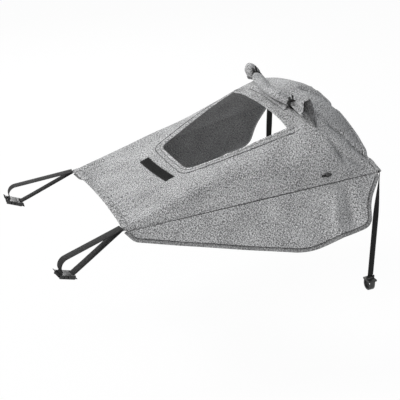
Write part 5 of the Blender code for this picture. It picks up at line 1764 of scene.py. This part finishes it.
def strap_box(side, flat, start, end, lift):
    """A sewn box with a cross on a strap, between two distances along its path."""
    walk = distances(flat)
    half = STRAP_WIDTH * 0.38
    corners = [(start, -half), (end, -half), (end, half), (start, half), (start, -half), (end, half)]
    lines = []
    for route in (corners, [(start, half), (end, -half)]):
        along, wide = resample(route, 60).T
        at = at_distances(flat, walk, along)
        run = unit(at_distances(flat, walk, along + 0.001) - at)
        up = np.stack((-run[..., 1], run[..., 0]), -1)
        base, aside = strap_place(side, at + up * lift)
        lines.append(base + aside * wide[..., None])
    return lines


for side_name, way in SIDES:
    lines = []
    for face, path in zip((1, -1), strap_paths(side_name)):
        lines += strap_box(way, path, 0.004, 0.017, face * (WEBBING / 2 + 0.0001))
    sew(side_name + "_strap_stitches", lines, side_name + "_handle_strap", "black_webbing", black_thread,
        0.0024, 0.0020, 0.0005)


# %% Hooks on the tape
def hook_tree():
    tree, start, end = new_tree("hooks on tape", Density=700000.0, Height=0.0008, Thickness=0.0003, Seed=7)
    spread = node(tree, "GeometryNodeDistributePointsOnFaces", {
        "Mesh": start["Geometry"], "Density": start["Density"], "Seed": start["Seed"]})
    cone = {"Vertices": 5, "Radius Top": 0.55, "Radius Bottom": 1.0, "Depth": 1.0}
    stalk = node(tree, "GeometryNodeMeshCone", cone).outputs["Mesh"]
    size = combine(tree, start["Thickness"], start["Thickness"], start["Height"])
    return close_tree(tree, start, end, spread.outputs[0], stalk, spread.outputs["Rotation"], size)


points, faces, _ = tape_sheet(0.48, 0.40, 61, 9, 0.0009)
carrier = piece_from("hook_carrier", points, faces, [])
grow("hook_tape_hooks", carrier, hook_tree(), {"Material": hook_tape}, "canopy", "grip_tape")


# %% Ribs on the rear straps
RIB_PITCH = 0.00125


def rib_tree():
    tree, start, end = new_tree("ribs on elastic", Width=0.0145, Thickness=0.0007, Height=0.0018)
    kept = "GeometryNodeInputNamedAttribute"
    across = node(tree, kept, {"Name": "across"}, data_type="FLOAT_VECTOR").outputs[0]
    run = node(tree, kept, {"Name": "run"}, data_type="FLOAT_VECTOR").outputs[0]
    turn = node(tree, "FunctionNodeAxesToRotation", {0: across, 1: run}, primary_axis="Z", secondary_axis="X")
    bar = node(tree, "GeometryNodeMeshCylinder", {"Vertices": 6, "Radius": 0.5, "Depth": 1.0})
    size = combine(tree, start["Thickness"], start["Height"], start["Width"])
    return close_tree(tree, start, end, start["Geometry"], bar.outputs["Mesh"], turn.outputs[0], size)


RIBS = rib_tree()


def make_ribs(name, side):
    path, across = (line[:REAR_STRAP_STEPS] for line in rear_strap_path(side))
    walk = distances(path)
    wanted = np.arange(0.003, walk[-1] - 0.002, RIB_PITCH)
    spots = at_distances(path, walk, wanted)
    wide = unit(at_distances(across, walk, wanted))
    carrier = carrier_mesh(name + "_rib_carrier", spots)
    for label, values in (("across", wide), ("run", unit(np.gradient(spots, axis=0)))):
        layer = carrier.data.attributes.new(label, "FLOAT_VECTOR", "POINT")
        layer.data.foreach_set("vector", values.astype(np.float32).ravel())
    grow(name + "_rear_elastic_ribs", carrier, RIBS, {"Material": elastic}, name + "_tail_strap", "elastic")


for side_name, way in SIDES:
    make_ribs(side_name, way)

# %% [markdown]
# The panel and each wing are joined by a seam on the fold line. From outside it is a thin dark line, where
# the turned edges meet in a groove. A fine dark cord laid in the groove is painted shade for it, and the same
# fine cord paints the shade at the turned hems of the window and of the wings.

# %% Seam cords
SHADOW_CORD_RADIUS = 0.0006
WINDOW_SHADOW_CORD = 0.0090


def lay_shadow_cord(name, path, normal, body):
    """A fine dark cord along a line, half sunk in the cloth: painted shade for a groove or a turned edge."""
    loft = loft_points(path + normal * (SHADOW_CORD_RADIUS * 0.4), normal, round_outline(SHADOW_CORD_RADIUS, 6))
    finish_piece(join_lofts(name, [loft], seam_shadow_finish), body, "binding_cloth")


def side_line(side):
    x = np.linspace(0.006, LENGTH - 0.016, 260)
    fold = fold_place(x / LENGTH)
    path = np.stack((x, side * fold[:, 0], fold[:, 1]), -1) - SEAT
    return path, cloth_normal(x, np.full_like(x, side * 0.999))


def window_line():
    x, y = window_round(WINDOW_SHADOW_CORD).T
    low = surface(x, y, CLOTH / 2)
    return low, unit(surface(x, y, 0.01) - low)


def hem_line(side):
    path, inward = wing_rim(420)
    along, depth = (path + inward * (WING_HEM + SHADOW_CORD_RADIUS))[6:-6].T
    low = wing_surface(side, along, depth, -CLOTH / 2)
    return low, unit(wing_surface(side, along, depth, -0.01) - low)


for side_name, way in SIDES:
    lay_shadow_cord(side_name + "_side_seam_shadow", *side_line(way), "canopy")
    lay_shadow_cord(side_name + "_wing_hem_shadow", *hem_line(way), side_name + "_side_wing")
lay_shadow_cord("window_hem_shadow", *window_line(), "canopy")
